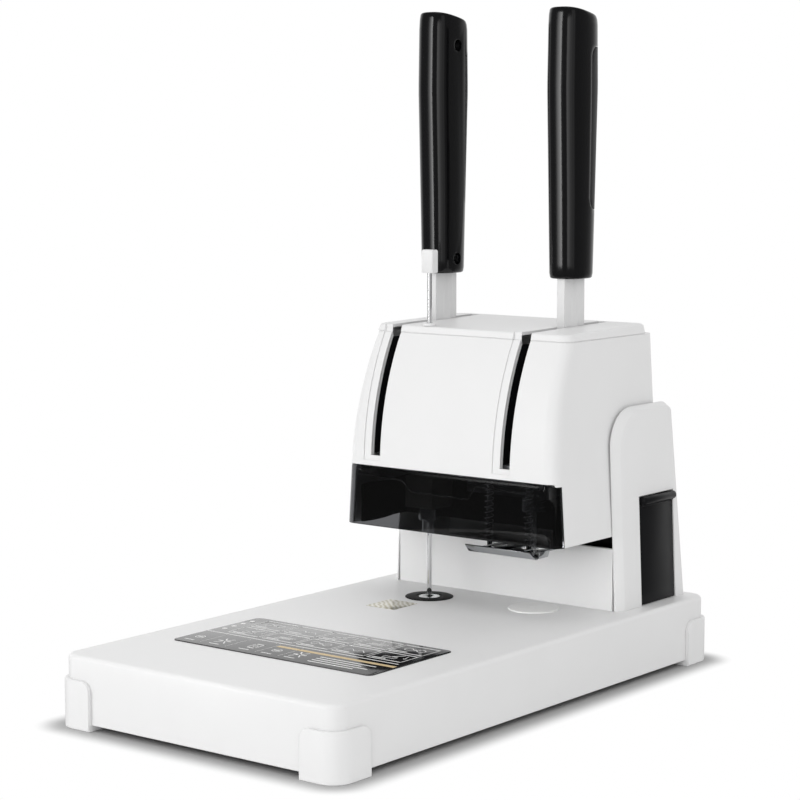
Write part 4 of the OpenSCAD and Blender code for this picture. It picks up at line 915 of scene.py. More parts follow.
def make_column():
    right = make_cheek(1)
    bin_mouth = block((80, BIN_Y, BASE_TOP - 1),
                      (130, BIN_Y + BIN_L, BASE_TOP + BIN_H + BIN_LIP), 1.2, steps=6)
    cut(right, bin_mouth)
    half = COLUMN_HALF - CHEEK_T - 2.1
    front = [(0, 0), (0, PANEL_H - 0.6), (0.2, PANEL_H - 0.15), (0.6, PANEL_H), (PANEL_T, PANEL_H),
             (PANEL_T, 0)]
    front = [(CHEEK_FRONT + y, BASE_TOP + z) for y, z in front]
    panel = lofted("panel", spread(front, (-half, half)), WHITE)
    column = join("column_cheeks", make_cheek(-1), right, panel)
    fitted(clean(column, 28), "frame", "white_plastic", "column_housing")


make_column()

# ---- Column back cover -------------------------------------------------------
# The back cover is a white plate between the cheeks, with slots that let the
# motor's warm air out. The mains inlet and the rocker switch sit low down in it.


def shift(x, y, z):
    return Matrix.Translation(Vector((x, y, z)) * MM)


def face_outwards(obj):
    """Puts the faces right after a mirroring or a joining."""
    bm = bmesh.new()
    bm.from_mesh(obj.data)
    turn_outwards(bm).to_mesh(obj.data)
    bm.free()
    return obj


COVER_TILT = math.atan(CHEEK_BACK_LEAN / (CHEEK_TOP - BASE_TOP))
# From a drawing (x across, y up, z into the column) to the tilted cover.
COVER_FRAME = shift(0, CHEEK_BACK - 1, BASE_TOP) @ Matrix.Rotation(COVER_TILT + math.pi / 2, 4, "X")
INLET_X, SWITCH_X, FITTING_UP = -60, -20, 27
COVER_T = 3
# Half sizes of the openings for the inlet and the switch, and of the vent slots.
INLET_OPENING, SWITCH_OPENING, VENT_SLOT = (15.3, 13.3), (11.8, 10.3), (16, 1.1)
VENT_XS, VENT_UPS = (-45, 0, 45), range(82, 131, 6)
FLANGE_HALF, FLANGE_T, INLET_HALF, INLET_DEEP = (18.5, 16), 2, (15, 13), 23
INLET_MOUTH = ((-12, -9), (12, -9), (12, 4.5), (7.5, 9), (-7.5, 9), (-12, 4.5))
MOUTH_DEEP, BLADES = 19, ((-7, -3), (0, 3), (7, -3))
COVER_SCREWS = ((-92, 12, 0.2), (92, 12, 0.2), (-90, 134, 0.2), (90, 134, 0.2))
CONTACT_METAL = metal("nickel plated contacts", (0.62, 0.60, 0.55), 0.25)


def make_back_cover():
    inner, height = COLUMN_HALF - CHEEK_T - 0.3, CHEEK_TOP - BASE_TOP
    drop, top = height * math.tan(CHEEK_LEAN), height - 8
    rings = [[(x - math.copysign(inset, x), y - math.copysign(inset, y - height / 2), z)
              for x, y in ((-inner, 0.5), (inner, 0.5), (inner - drop, top), (-inner + drop, top))]
             for z, inset in ((COVER_T, 0), (0.5, 0), (0.15, 0.15), (0, 0.6))]
    plate = lofted("back_plate", rings, WHITE)
    openings = [block((x - half_w, FITTING_UP - half_h, -5), (x + half_w, FITTING_UP + half_h, 8),
                      1, steps=6)
                for x, (half_w, half_h) in ((INLET_X, INLET_OPENING), (SWITCH_X, SWITCH_OPENING))]
    half_l, half_h = VENT_SLOT
    slot = block((-half_l, -half_h, -5), (half_l, half_h, 8), half_h, steps=6)
    places = [(x, up, 0) for x in VENT_XS for up in VENT_UPS]
    cut(plate, *openings, copies("vent slots", slot, places))
    fitted(clean(moved(plate, COVER_FRAME), 30), "frame", "white_plastic", "column_back_cover")


def make_inlet():
    (flange_w, flange_h), (body_w, body_h) = FLANGE_HALF, INLET_HALF
    flange = lofted("inlet flange", bar((-flange_w, -flange_h, 0), (flange_w, flange_h, FLANGE_T),
                                        2.5, 0.5, 6, 3), BLACK)
    body = lofted("inlet body", bar((-body_w, -body_h, -0.2), (body_w, body_h, INLET_DEEP), 1),
                  BLACK)
    inlet = face_outwards(join("inlet", moved(flange, Matrix.Diagonal((1, 1, -1, 1))), body))
    cut(inlet, tool([[(x, y, z) for x, y in INLET_MOUTH] for z in (-5, MOUTH_DEEP)]))
    moved(inlet, COVER_FRAME @ shift(INLET_X, FITTING_UP, 0))
    fitted(clean(inlet, 30), "frame", "black_plastic", "power_inlet")
    blade = lofted("blade", bar((-1, -2, 7), (1, 2, MOUTH_DEEP + 1), 0.3), CONTACT_METAL)
    places = [(INLET_X + x, FITTING_UP + y, 0) for x, y in BLADES]
    fitted(moved(copies("inlet_contacts", blade, places), COVER_FRAME), "frame", "bright_steel")


make_back_cover()
screws("cover_screws", 3.1, 1.2, Matrix.Rotation(math.pi, 4, "X"), COVER_SCREWS, "frame",
       into=COVER_FRAME)
make_inlet()
refine(("switch_frame", "frame", BLACK, "black_plastic"),
       ("power_switch", "power_switch", BLACK, "black_gloss"),
       ("column_post", "frame", ZINC, "frame_steel"))

# ---- Waste bin ---------------------------------------------------------------
# Paper chips fall into a black drawer in the right cheek. Its front leans with
# the cheek and ends in a rounded finger lip at the top.

BIN_FACE, BIN_DEPTH, BIN_WALL = COLUMN_HALF - 0.6, 70, 2
BIN_LOW_Z, BIN_TRAY_TOP = BASE_TOP + 0.4, 107.5
BIN_BACK = BIN_Y + BIN_L
BIN_FRAME = shift(BIN_FACE, 0, BASE_TOP) @ Matrix.Rotation(-CHEEK_LEAN, 4, "Y")
LIP_STOPS = (
    # place along the lip, scale of its section, shift of its front
    (BIN_Y + 3.4, 0.55, -1.2), (BIN_Y + 3.7, 0.8, -0.9), (BIN_Y + 4.4, 0.95, -0.5),
    (BIN_Y + 6.5, 1, 0), (BIN_BACK - 1.2, 1, 0), (BIN_BACK - 0.7, 0.93, 0),
    (BIN_BACK - 0.45, 0.8, 0),
)


def lip_section(scale, forward):
    """Section of the finger lip in x and z, drawn towards its middle by scale."""
    middle = Vector((-0.6, BIN_H + 2.6))
    points = arc(1.4 + forward, BIN_H + 3, 2.9, -80, 90, 12, radius_y=3.1)
    points += arc(-0.2, BIN_H + 3, 3, 90, 170, 6, radius_y=3.1)
    points += [(-3.2, BIN_H - 1.5), (0, BIN_H - 1.5)]
    return [middle + (Vector(p) - middle) * scale for p in points]


def make_bin():
    low = (BIN_FACE - BIN_DEPTH, BIN_Y + 1.5)
    high = (BIN_FACE - 3.5, BIN_BACK - 1.5)
    outer = bar((*low, BIN_LOW_Z), (*high, BIN_TRAY_TOP), 2, 0.4)
    inner = bar((low[0] + BIN_WALL, low[1] + BIN_WALL, BIN_LOW_Z + BIN_WALL),
                (BIN_FACE - 8.5, high[1] - BIN_WALL, BIN_TRAY_TOP), 1.5)
    tray = lofted("tray", outer + list(reversed(inner)), BLACK)
    y0, y1, z0 = BIN_Y + 0.3, BIN_BACK - 0.3, 0.5
    face = [[(x, y, z) for y, z in ((y0 + inset, z0 + inset), (y1 - inset, z0 + inset),
                                    (y1 - inset, BIN_H), (y0 + inset, BIN_H))]
            for x, inset in ((-4, 0.3), (-3.7, 0), (-0.6, 0), (-0.2, 0.12), (0, 0.5))]
    lip = [[(p.x, y, p.y) for p in lip_section(scale, forward)]
           for y, scale, forward in LIP_STOPS]
    parts = [face_outwards(moved(lofted("part", rings, BLACK), BIN_FRAME)) for rings in (face, lip)]
    fitted(clean(join("bin_drawer", tray, *parts), 35), "waste_bin", "black_plastic", "waste_bin")


make_bin()

# ---- Head shell --------------------------------------------------------------
# The head is a white shell, open below, whose front is upright at the smoked
# cover and then sweeps back. The two levers swing forward through its slots.

HEAD_Z, HEAD_HALF, HEAD_LEAN = 109.5, 101.5, math.radians(3.7)
HEAD_FRONT, HEAD_BACK, HEAD_CORNER = 53.5, 200.5, 10
HEAD_WALL, BROW_R, SEAM_Z = 2.4, 212, 259.5
COVER_TOP, COVER_WRAP = 157, 9.2
CAP_BACK, CAP_H, CAP_RISE, CAP_CORNER = 192, 5.8, 2.1, 8
LEVER_XS = {"rivet": -70, "punch": 53}
SLOT_W, SLOT_Z, SLOT_BACK, RECESS_W, RECESS_DEEP = 9.6, 165, 185, 6.6, 0.8
HINGE_Y, HINGE_Z, HINGE_R = 55.4, 154.7, 1.75
EAR_X, EAR_W = 84.2, 4
CURTAIN_BACK, RIB_T = 128, 1.4
BEYOND_X, BEYOND_Z = 150, 300


def half_at(z):
    return HEAD_HALF - (z - HEAD_Z) * math.tan(HEAD_LEAN)


def front_at(z):
    """Front face of the head at height z: upright, then an arc that leans back."""
    if z <= COVER_TOP:
        return HEAD_FRONT
    return HEAD_FRONT + BROW_R - math.sqrt(BROW_R ** 2 - (z - COVER_TOP) ** 2)


def head_ring(z, inset=0.0):
    half = half_at(z)
    return rounded_ring((-half, front_at(z)), (half, HEAD_BACK), HEAD_CORNER - inset / 2, z, 14,
                        inset)


def head_levels(low, high, step=5):
    """Heights from low to high, close together where the front is curved."""
    curved = [COVER_TOP + step * k for k in range(int((high - COVER_TOP) / step) + 1)]
    return [low] + [z for z in curved if low + step / 2 < z < high - step / 2] + [high]


def strip(x0, x1, levels, ends, material):
    """A solid between two places across, whose front and back end follow the height."""
    rings = []
    for z in levels:
        near, far = ends(z)
        rings.append([(x, y, z) for x, y in ((x0, near), (x1, near), (x1, far), (x0, far))])
    return lofted("strip", rings, material)


def cap_plan(radius, z, inset, steps=12):
    """Plan of the cap at its seam, drawn in by inset."""
    half = half_at(SEAM_Z)
    return rounded_ring((-half, front_at(SEAM_Z)), (half, CAP_BACK), radius, z, steps, inset)


def make_head_shell():
    outer = [head_ring(z) for z in head_levels(HEAD_Z, SEAM_Z)]
    inner = [head_ring(z, HEAD_WALL) for z in head_levels(HEAD_Z, SEAM_Z - HEAD_WALL)]
    shell = lofted("head_housing", list(reversed(outer)) + inner, WHITE)
    tools = [tool([cap_plan(6, z, HEAD_WALL, 6)
                   for z in (SEAM_Z - 3 * HEAD_WALL, SEAM_Z + HEAD_WALL)])]
    for y, z in ((HEAD_FRONT + COVER_WRAP + 0.5, HINGE_Z + 0.3), (HINGE_Y + 2.2, COVER_TOP)):
        tools.append(block((-BEYOND_X, 0, HEAD_Z - 1), (BEYOND_X, y, z)))
    for x in LEVER_XS.values():
        tools.append(block((x - SLOT_W / 2, 0, SLOT_Z), (x + SLOT_W / 2, 110, BEYOND_Z)))
        tools.append(strip(x - SLOT_W / 2 - RECESS_W, x + SLOT_W / 2 + 0.01,
                           head_levels(SLOT_Z - 4, SEAM_Z + 1),
                           lambda z: (0, front_at(z) + RECESS_DEEP), WHITE))
    cut(shell, *tools)
    fitted(clean(shell, 26), "frame", "white_plastic", "head_shell")


def make_cover_ears():
    """The shell's two hinge tabs, black as painted shade so that they vanish behind the cover."""
    profile = arc(HINGE_Y, HINGE_Z, HINGE_R, 180, 360, 12)
    profile += [(HINGE_Y + 1.6, COVER_TOP + 1), (HEAD_FRONT + 0.3, COVER_TOP + 1)]
    ears = [lofted("ear", spread(profile, (x, x + EAR_W)), BLACK) for x in (-EAR_X - EAR_W, EAR_X)]
    fitted(clean(join("cover_ears", *ears), 26), "frame", "black_plastic")


def make_slot_shade_plates():
    """A black plate beside each slot: painted shade that hides the works and darkens the slot."""
    levels = head_levels(SLOT_Z + 1, SEAM_Z - 4)
    curtains = [strip(x - SLOT_W / 2 - 2.8, x - SLOT_W / 2 - 1.6, levels,
                      lambda z: (front_at(z) + HEAD_WALL + 0.1, CURTAIN_BACK), BLACK)
                for x in LEVER_XS.values()]
    fitted(clean(join("slot_curtains", *curtains), 30), "frame", "black_plastic")


def make_slot_rims():
    """Ribs inside the shell along both slots, which stiffen it and make it look thick."""
    levels = head_levels(SLOT_Z - 1, SEAM_Z - 2.6)
    ribs = [strip(x0, x0 + RIB_T, levels,
                  lambda z: (front_at(z) + HEAD_WALL - 0.3, front_at(z) + HEAD_WALL + 2.3), WHITE)
            for x in LEVER_XS.values() for x0 in (x - SLOT_W / 2 - RIB_T, x + SLOT_W / 2)]
    fitted(clean(join("slot_ribs", *ribs), 30), "frame", "white_plastic")


make_head_shell()
make_cover_ears()
make_slot_shade_plates()
make_slot_rims()

# ---- Head cap ----------------------------------------------------------------
# A separate white cap closes the head. Its top rises a little to the back, and
# the slots and the hole of the guide rod go through it.

CAP_SHY, CAP_SOFT, CAP_SOFT_H = 0.8, 2.0, 2.4
SEAM_SHADOW = 0.35


def cap_ring(inset, below_top):
    y0 = front_at(SEAM_Z)
    tilt = CAP_RISE / (CAP_BACK - y0)
    return [(x, y, SEAM_Z + CAP_H - below_top + (y - y0) * tilt)
            for x, y, _ in cap_plan(CAP_CORNER, 0, inset)]


def make_cap():
    outer = [cap_plan(CAP_CORNER, SEAM_Z + up, inset)
             for up, inset in ((0.02, SEAM_SHADOW), (0.5, SEAM_SHADOW), (0.75, 0))]
    outer += [cap_ring(inset, below) for inset, below in
              arc(CAP_SHY + CAP_SOFT, CAP_SOFT_H, CAP_SOFT, 180, 270, 8, radius_y=CAP_SOFT_H)]
    floor = cap_plan(CAP_CORNER - 1, SEAM_Z + 0.02, HEAD_WALL)
    roof = [(x, y, top[2] - HEAD_WALL) for (x, y, _), top in zip(floor, cap_ring(0, 0))]
    cap = lofted("head_lid", list(reversed(outer)) + [floor, roof], WHITE)
    tools = [block((x - SLOT_W / 2, 0, 200), (x + SLOT_W / 2, SLOT_BACK, BEYOND_Z))
             for x in LEVER_XS.values()]
    tools.append(drill(RIVET_XY, 2.5, 200, BEYOND_Z))
    for x in LEVER_XS.values():
        tools.append(strip(x - SLOT_W / 2 - RECESS_W, x + SLOT_W / 2, (SEAM_Z - 1, SEAM_Z + 9),
                           lambda z: (0, front_at(SEAM_Z) + 1.6 + 0.14 * (z - SEAM_Z + 1)), WHITE))
    cut(cap, *tools)
    fitted(clean(cap, 26), "frame", "white_plastic", "head_cap")


make_cap()

# ---- Smoked cover ------------------------------------------------------------
# The working space is closed by a tilting cover of smoked clear plastic. It wraps
# round both corners and hangs on two small pins under the shell's edge.

SMOKED = finish("smoked clear plastic", GRAIN,
                dict(Grain_Size=0.004, Cloud_Size=0.03, Edge_Radius=0.0004, Depth=0.02),
                ((0.105, 0.106, 0.112, 1), (0.135, 0.137, 0.143, 1)), (0.02, 0.07),
                Transmission_Weight=1.0, IOR=1.35)
COVER_WALL, COVER_HIGH, COVER_CURL = 2.2, 156.6, 1.85
BEAD_W = 0.6
BEAD_STOPS = ((-87, 150.5), (-43.4, 148), (-33.7, 140), (19.8, 139.3), (26.2, 150), (85.5, 148))


def cover_band(z, inset, steps=14, across=24):
    """Points of the cover's U shape in plan, from its right end round to its left end."""
    half, front = half_at(z) - inset, front_at(z) + inset
    radius = HEAD_CORNER - inset / 2
    start = math.degrees(math.asin((HEAD_FRONT + COVER_WRAP - front - radius) / radius))
    corner = arc(half - radius, front + radius, radius, start, -90, steps)
    middle = [((half - radius) * (1 - 2 * i / across), front) for i in range(1, across)]
    return [(x, y, z) for x, y in corner + middle + [(-x, y) for x, y in reversed(corner)]]


def make_cover():
    section = [(COVER_WALL, 0.3), (COVER_WALL - 0.3, 0), (0.4, 0), (0.1, 0.1), (0, 0.4)]
    section = [(inset, HEAD_Z + z) for inset, z in section]
    section += [(0, HEAD_Z + k * (HINGE_Z - HEAD_Z) / 4) for k in (1, 2, 3, 4)]
    section += arc(COVER_CURL, HINGE_Z, COVER_CURL, 180, 90, 6)[1:] + [(COVER_WALL, COVER_HIGH)]
    columns = [cover_band(z, inset) for inset, z in section]
    cover = lofted("tilting_cover", list(zip(*columns)), SMOKED)
    cut(cover, *[block((x - 0.3, 40, HINGE_Z - 2.2), (x + EAR_W + 0.3, 60, 170))
                 for x in (-EAR_X - EAR_W, EAR_X)])
    fitted(clean(cover, 30), "smoked_cover", "smoked", "smoked_cover")


def make_cover_bead():
    """A moulded step on the cover's face, drawn as a thin raised bead."""
    bm = bmesh.new()
    spots = [Vector((x, 0, z)) for x, z in BEAD_STOPS]
    for a, b in zip(spots, spots[1:]):
        along = (b - a).normalized()
        up = Vector((-along.z, 0, along.x)) * BEAD_W
        loft(bm, [[spot + up * side + Vector((0, HEAD_FRONT + deep, 0)) for side, deep in
                   ((-1, 0.05), (-0.5, -0.35), (0.5, -0.35), (1, 0.05))]
                  for spot in (a - along * BEAD_W * 0.4, b + along * BEAD_W * 0.4)])
    fitted(clean(new_piece("cover_bead", turn_outwards(bm), SMOKED), 40), "smoked_cover", "smoked")


make_cover()
make_cover_bead()
# The inner liner is a black sheet behind the cover: painted shade that keeps the inside of the head
# dark.
refine(("cover_pins", "frame", BLACK, "black_plastic"),
       ("inner_liner", "frame", BLACK, "black_plastic"))

# ---- Frame in the head -------------------------------------------------------
# Steel side plates, the block of the ram and the two guide columns carry all
# that moves. They stand on the post and are hidden behind the white shell.

PLATE_STEEL = metal("sheet steel", (0.42, 0.43, 0.45), 0.38, along=(20, 1, 1))
BRONZE = metal("sintered bronze", (0.52, 0.36, 0.16), 0.35, size=0.0008, depth=0.3, tint=0.15)
refine(("head_frame", "frame", PLATE_STEEL, "frame_steel"),
       ("guide_columns", "frame", POLISHED, "bright_steel"),
       ("ram_bush", "frame", BRONZE, "bronze"))

# ---- Riveting ram ------------------------------------------------------------
# The ram is a bored steel bar with a rack behind it. Under it hang the heater
# block and the upper die that melts and flares the end of the plastic tube.

TURNED = metal("turned steel", (0.55, 0.56, 0.58), 0.26, along=(30, 30, 1), size=0.0008, depth=0.1)
HEATER_CAST = shade("cast aluminium heater", (0.30, 0.29, 0.27), 0.5, grain=0.0008, depth=0.35,
                    tint=0.12, Metallic=0.85)
UPPER_DIE_LOW = 106.04
UPPER_DIE_PROFILE = ((2.3, 0.3), (2.6, 0), (4.3, 0), (4.9, 0.5), (5, 1.2), (5, 7.6), (5.4, 8),
                     (7.6, 8), (8, 8.4), (8, 17.6), (7.6, 18), (2.3, 18))
refine(("rivet_ram", "rivet_ram", TURNED, "bright_steel"),
       ("die_heater", "rivet_ram", HEATER_CAST, "heater_cast"))
shaped("upper_die_turned", round_rings(RIVET_XY, UPPER_DIE_PROFILE, UPPER_DIE_LOW, 64), POLISHED,
       "rivet_ram", "bright_steel", "upper_die", closed=True)

# ---- Drill carriage ----------------------------------------------------------
# A cast carriage slides on the guide columns. It holds the small motor, the belt
# with its two pulleys and the spindle with the hollow drill.

CAST_GREY = shade("cast alloy", (0.22, 0.225, 0.235), 0.48, grain=0.0007, depth=0.45, tint=0.1,
                  Metallic=0.9)
MOTOR_PAINT = shade("dark motor paint", (0.03, 0.03, 0.035), 0.4, grain=0.0005,
                    Specular_IOR_Level=0.3)
BELT_LOW, BELT_HIGH, BELT_T = 153.6, 160.4, 1.5
MOTOR_X, MOTOR_LOOP_R, DRILL_LOOP_R = 16, 8.3, 11.3
refine(("drill_carriage", "drill_carriage", CAST_GREY, "cast_alloy"),
       ("drill_motor", "drill_carriage", MOTOR_PAINT, "motor_paint"),
       ("motor_pulley", "motor_shaft", TURNED, "screw_steel"),
       ("drill_spindle", "drill_spindle", TURNED, "screw_steel"),
       ("hollow_drill", "drill_spindle", POLISHED, "bright_steel"))


def belt_loop(out):
    """The belt's way round both pulleys, at a distance out from its inner face."""
    lean = math.degrees(math.asin((DRILL_LOOP_R - MOTOR_LOOP_R) / (DRILL_XY[0] - MOTOR_X)))
    return (arc(*DRILL_XY, DRILL_LOOP_R + out, -90 - lean, 90 + lean, 24) +
            arc(MOTOR_X, DRILL_XY[1], MOTOR_LOOP_R + out, 90 + lean, 270 - lean, 24))


belt = [[(*inner, BELT_LOW), (*outer, BELT_LOW), (*outer, BELT_HIGH), (*inner, BELT_HIGH)]
        for inner, outer in zip(belt_loop(0), belt_loop(BELT_T))]
shaped("belt_loop", belt, RUBBER, "drill_carriage", "rubber", "drive_belt", angle=40, closed=True)

# ---- Press foot --------------------------------------------------------------
# A folded, chromed sheet hangs under the carriage on two rods. Springs on the
# rods press it on the paper before the drill comes down.

CHROME = metal("chromed sheet", (0.42, 0.43, 0.44), 0.12, play=0.04, size=0.01, depth=0.02,
               tint=0.04)
SPRING_STEEL = metal("spring wire", (0.85, 0.85, 0.86), 0.3)
FOOT_LOW, FOOT_HIGH = (13, 58.5, 98), (78, 114.5)
FOOT_SHEET, FOOT_SIDE, FOOT_STEP, FOOT_EDGE = 1.4, 20, 15, 0.15
FRONT_FOLD = ((7, 0), (4.4, 0), (3.75, 0.2), (3.3, 0.85), (0.12, 5.35), (0.2, 5.6), (1.02, 5.98),
              (4.2, 1.5), (4.6, 1.4), (7, 1.4))
SIDE_FOLD = ((5, 0), (2.9, 0), (2.1, 0.15), (1.65, 0.4), (1.45, 0.85), (0.05, 5.7), (0.2, 5.9),
             (1.1, 5.98), (2.5, 1.5), (2.8, 1.4), (5, 1.4))
SPRING_XS, SPRING_Y = (31, 67), 66.2
SPRING_LOW, SPRING_HIGH = 100, 161.4
SPRING_COIL, SPRING_WIRE, SPRING_CURLS, END_CURL = 3.2, 0.45, 14, 0.9
refine(("foot_rods", "press_foot", POLISHED, "bright_steel"))


def round_edges(obj, width):
    edge = obj.modifiers.new("edge", "BEVEL")
    edge.width, edge.segments = width * MM, 2
    edge.limit_method, edge.angle_limit = "ANGLE", math.radians(50)
    return settle(obj)


def make_press_foot():
    """The foot's plate with its holes, and the edges folded up and outwards."""
    (x0, y0, z0), (x1, y1) = FOOT_LOW, FOOT_HIGH
    back, tail = y0 + FOOT_SIDE, x1 - FOOT_STEP
    plan = [(x0 + 1, y0 + 5), (x1 - 3, y0 + 5), (x1 - 3, back - 2), (x1 - 5, back),
            (tail, back + 1), (tail, y1 - 3), (tail - 3, y1), (x0 + 4, y1), (x0 + 1, y1 - 3)]
    sheet = lofted("foot plate", [[(x, y, z) for x, y in plan] for z in (z0, z0 + FOOT_SHEET)],
                   CHROME)
    front = lofted("front edge", [[(x + lean * z, y0 + u, z0 + z) for u, z in FRONT_FOLD]
                                  for x, lean in ((x0 + 1.2, -0.19), (x1 - 2, -0.58))], CHROME)
    right = lofted("right edge", [[(x1 - u, y + lean * z, z0 + z) for u, z in SIDE_FOLD]
                                  for y, lean in ((y0 + 7.5, -0.2), (back - 0.6, 0))], CHROME)
    holes = [drill(place, radius, z0 - 1, z0 + 4, steps) for place, radius, steps in
             ((DRILL_XY, 10, 64), ((SPRING_XS[0], SPRING_Y), 1.55, 24),
              ((SPRING_XS[1], SPRING_Y), 1.55, 24), ((24, 96), 2.2, 24))]
    foot = round_edges(join("foot_sheet", cut(sheet, *holes), front, right), FOOT_EDGE)
    fitted(clean(foot, 40), "press_foot", "chrome", "press_foot")


def make_spring(name, node, x, steps=20, sides=8):
    """A coil spring from its helix, with both end curls closed and flat."""
    turns = SPRING_CURLS + 2
    rise = SPRING_HIGH - SPRING_LOW - 2 * END_CURL
    rings = []
    for i in range(turns * steps + 1):
        way = i / steps
        climb = min(max((way - 1) / SPRING_CURLS, 0), 1)
        ease = END_CURL * (min(way, 1) + min(max(way - turns + 1, 0), 1))
        out = Vector((math.cos(2 * math.pi * way), math.sin(2 * math.pi * way), 0))
        middle = Vector((x, SPRING_Y, SPRING_LOW + rise * climb + ease)) + out * SPRING_COIL
        rings.append([middle + out * c + Vector((0, 0, s)) for c, s in circle(sides, SPRING_WIRE)])
    spring = shaped(name, rings, SPRING_STEEL, "drill_carriage", "spring_steel", node, angle=60)
    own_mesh(spring)


make_press_foot()
make_spring("foot_spring_left", "press_spring_left", SPRING_XS[0])
make_spring("foot_spring_right", "press_spring_right", SPRING_XS[1])

# ---- Lever shaft and pinions -------------------------------------------------
# Both levers turn on one steel shaft. Each drives its rack through a toothed
# sector, and bronze spacers keep everything apart.

refine(("lever_shaft", "frame", POLISHED, "bright_steel"),
       ("shaft_spacers", "frame", BRONZE, "bronze"),
       ("rivet_pinion", "rivet_lever", PLATE_STEEL, "frame_steel"),
       ("punch_pinion", "punch_lever", PLATE_STEEL, "frame_steel"))

# ---- Lever arms --------------------------------------------------------------
# The arms are flat steel bars painted white. Each grows out of a round hub on
# the shaft and runs up inside its grip.

ARM_T = 7
ARM_PAINT = shade("white enamel on steel", (0.76, 0.76, 0.76), 0.3, grain=0.001, depth=0.05,
                  edge=0.0008, Specular_IOR_Level=0.4)
refine(("rivet_lever_arm", "rivet_lever", ARM_PAINT, "arm_paint"),
       ("punch_lever_arm", "punch_lever", ARM_PAINT, "arm_paint"))

# ---- Grips -------------------------------------------------------------------
# Each grip is a glossy black moulding with a flat inner side, held by two sunk
# screws. A long pad is let into its back, and a fine groove runs round the pad.

GRIP_BLACK = shade("glossy black plastic", (0.003, 0.003, 0.0035), 0.13, rough_play=0.03, tint=0.1,
                   grain=0.006, depth=0.004, edge=0.0006, Specular_IOR_Level=0.5)
PAD_BLACK = shade("black grip pad", (0.016, 0.016, 0.017), 0.42, rough_play=0.04, tint=0.1,
                  Specular_IOR_Level=0.2)
PIVOT_Y, GRIP_Z, GRIP_L = 140.5, 303.5, 206
GRIP_HALF, GRIP_FLAT, GRIP_POWER = (16, 21), 1.5, 0.75
# Half sizes at shares of the length, and then over the crown: (rise, share of the tilt).
GRIP_LEVELS = ((0, 0.86, 0.78), (0.02, 0.90, 0.815), (0.3, 0.95, 0.88), (0.7, 1.0, 1.0),
               (0.93, 0.98, 0.96))
GRIP_FOOT = ((0, 1.1), (0.001, 0.55), (0.003, 0.2), (0.006, 0.0))
GRIP_CROWN_LEVELS = ((0.965, 0.94, -2.6, 0.6), (0.945, 0.92, -0.3, 1), (0.93, 0.905, 0.5, 1),
                     (0.90, 0.88, 1.15, 1), (0.86, 0.845, 1.45, 1), (0.78, 0.77, 1.65, 1))
GRIP_CROWN, GRIP_TILT = 6, math.radians(-11)
PAD_LOW, PAD_HIGH = GRIP_Z + 52.5, GRIP_Z + 175.5
PAD_INSIDE_Y, PAD_OUTSIDE_Y = 10.5, 3
PAD_ROUND, PAD_GAP, PAD_DEEP, PAD_SHY = 8, 0.4, 1.3, 0.02
GRIP_SCREW_ZS, GRIP_SCREW_IN = (315, 482.5), ARM_T / 2 + 4
# The sunk holes: distance from the arm's middle and radius.
GRIP_HOLE = ((GRIP_SCREW_IN, 3.1), (9.7, 3.1), (9.8, 4.5), (15.2, 4.9))
SOCKET_HALF = (ARM_T / 2 + 0.1, 13.6)
ARM_TOP = GRIP_Z + GRIP_L - 18
GRIP_EDGE = 0.4


def grip_outline(x, half_x, half_y, z, tilt=0.0, count=72):
    """Outline of a grip at height z: a box with very round sides."""
    points = []
    for c, s in circle(count):
        px = half_x * math.copysign(abs(c) ** GRIP_POWER, c)
        py = half_y * math.copysign(abs(s) ** GRIP_POWER, s)
        points.append((x + px, PIVOT_Y + py * math.cos(tilt), z + py * math.sin(tilt)))
    return points


def blend_level(share):
    """Half sizes of the grip at a share of its length."""
    for (s0, x0, y0), (s1, x1, y1) in zip(GRIP_LEVELS, GRIP_LEVELS[1:]):
        if share <= s1:
            t = (share - s0) / (s1 - s0)
            return x0 + (x1 - x0) * t, y0 + (y1 - y0) * t
    return GRIP_LEVELS[-1][1:]


def grip_rings(x, inset):
    rings = []
    for share, shy in list(GRIP_FOOT) + [(0.02 + 0.91 * k / 26, 0.0) for k in range(27)]:
        sx, sy = blend_level(share)
        rings.append(grip_outline(x, GRIP_HALF[0] * sx - inset - shy,
                                  GRIP_HALF[1] * sy - inset - shy, GRIP_Z + share * GRIP_L))
    top = GRIP_Z + GRIP_L - GRIP_CROWN
    for sx, sy, rise, part in GRIP_CROWN_LEVELS:
        rings.append(grip_outline(x, GRIP_HALF[0] * sx - inset, GRIP_HALF[1] * sy - inset,
                                  top + rise, GRIP_TILT * part))
    return rings


def pad_region(x, inward, grow):
    """Solid over the back of a grip where the pad lies, its front corners round."""
    rings = []
    low, high, radius = PAD_LOW - grow, PAD_HIGH + grow, PAD_ROUND + grow
    for side, front in ((-1, PAD_OUTSIDE_Y), (-0.01, PAD_OUTSIDE_Y), (0.01, PAD_INSIDE_Y),
                        (1, PAD_INSIDE_Y)):
        y = PIVOT_Y + front - grow + radius
        profile = [(PIVOT_Y + 40, low), (PIVOT_Y + 40, high)]
        profile += arc(y, high - radius, radius, 90, 180, 8)
        profile += arc(y, low + radius, radius, 180, 270, 8)
        rings += spread(profile, [x + inward * side * 40])
    return tool(rings)


def common(obj, solid):
    """Leaves of obj what lies inside the other solid."""
    return cut(obj, solid, operation="INTERSECT")


def grip_solid(name, x, inward, inset, material):
    """A grip's body drawn in by inset, with its flat inner side."""
    limit = x - inward * inset + inward * (GRIP_HALF[0] - GRIP_FLAT)
    low, high = sorted((limit, x - inward * inset - inward * 60))
    kept = block((low, PIVOT_Y - 60, GRIP_Z - 20), (high, PIVOT_Y + 60, GRIP_Z + GRIP_L + 20))
    return common(lofted(name, grip_rings(x, inset), material), kept)


def grip_hole(x, inward, z):
    return tool([spread([(PIVOT_Y + y, z + h) for y, h in circle(32, radius)],
                        [x + inward * away])[0] for away, radius in GRIP_HOLE])


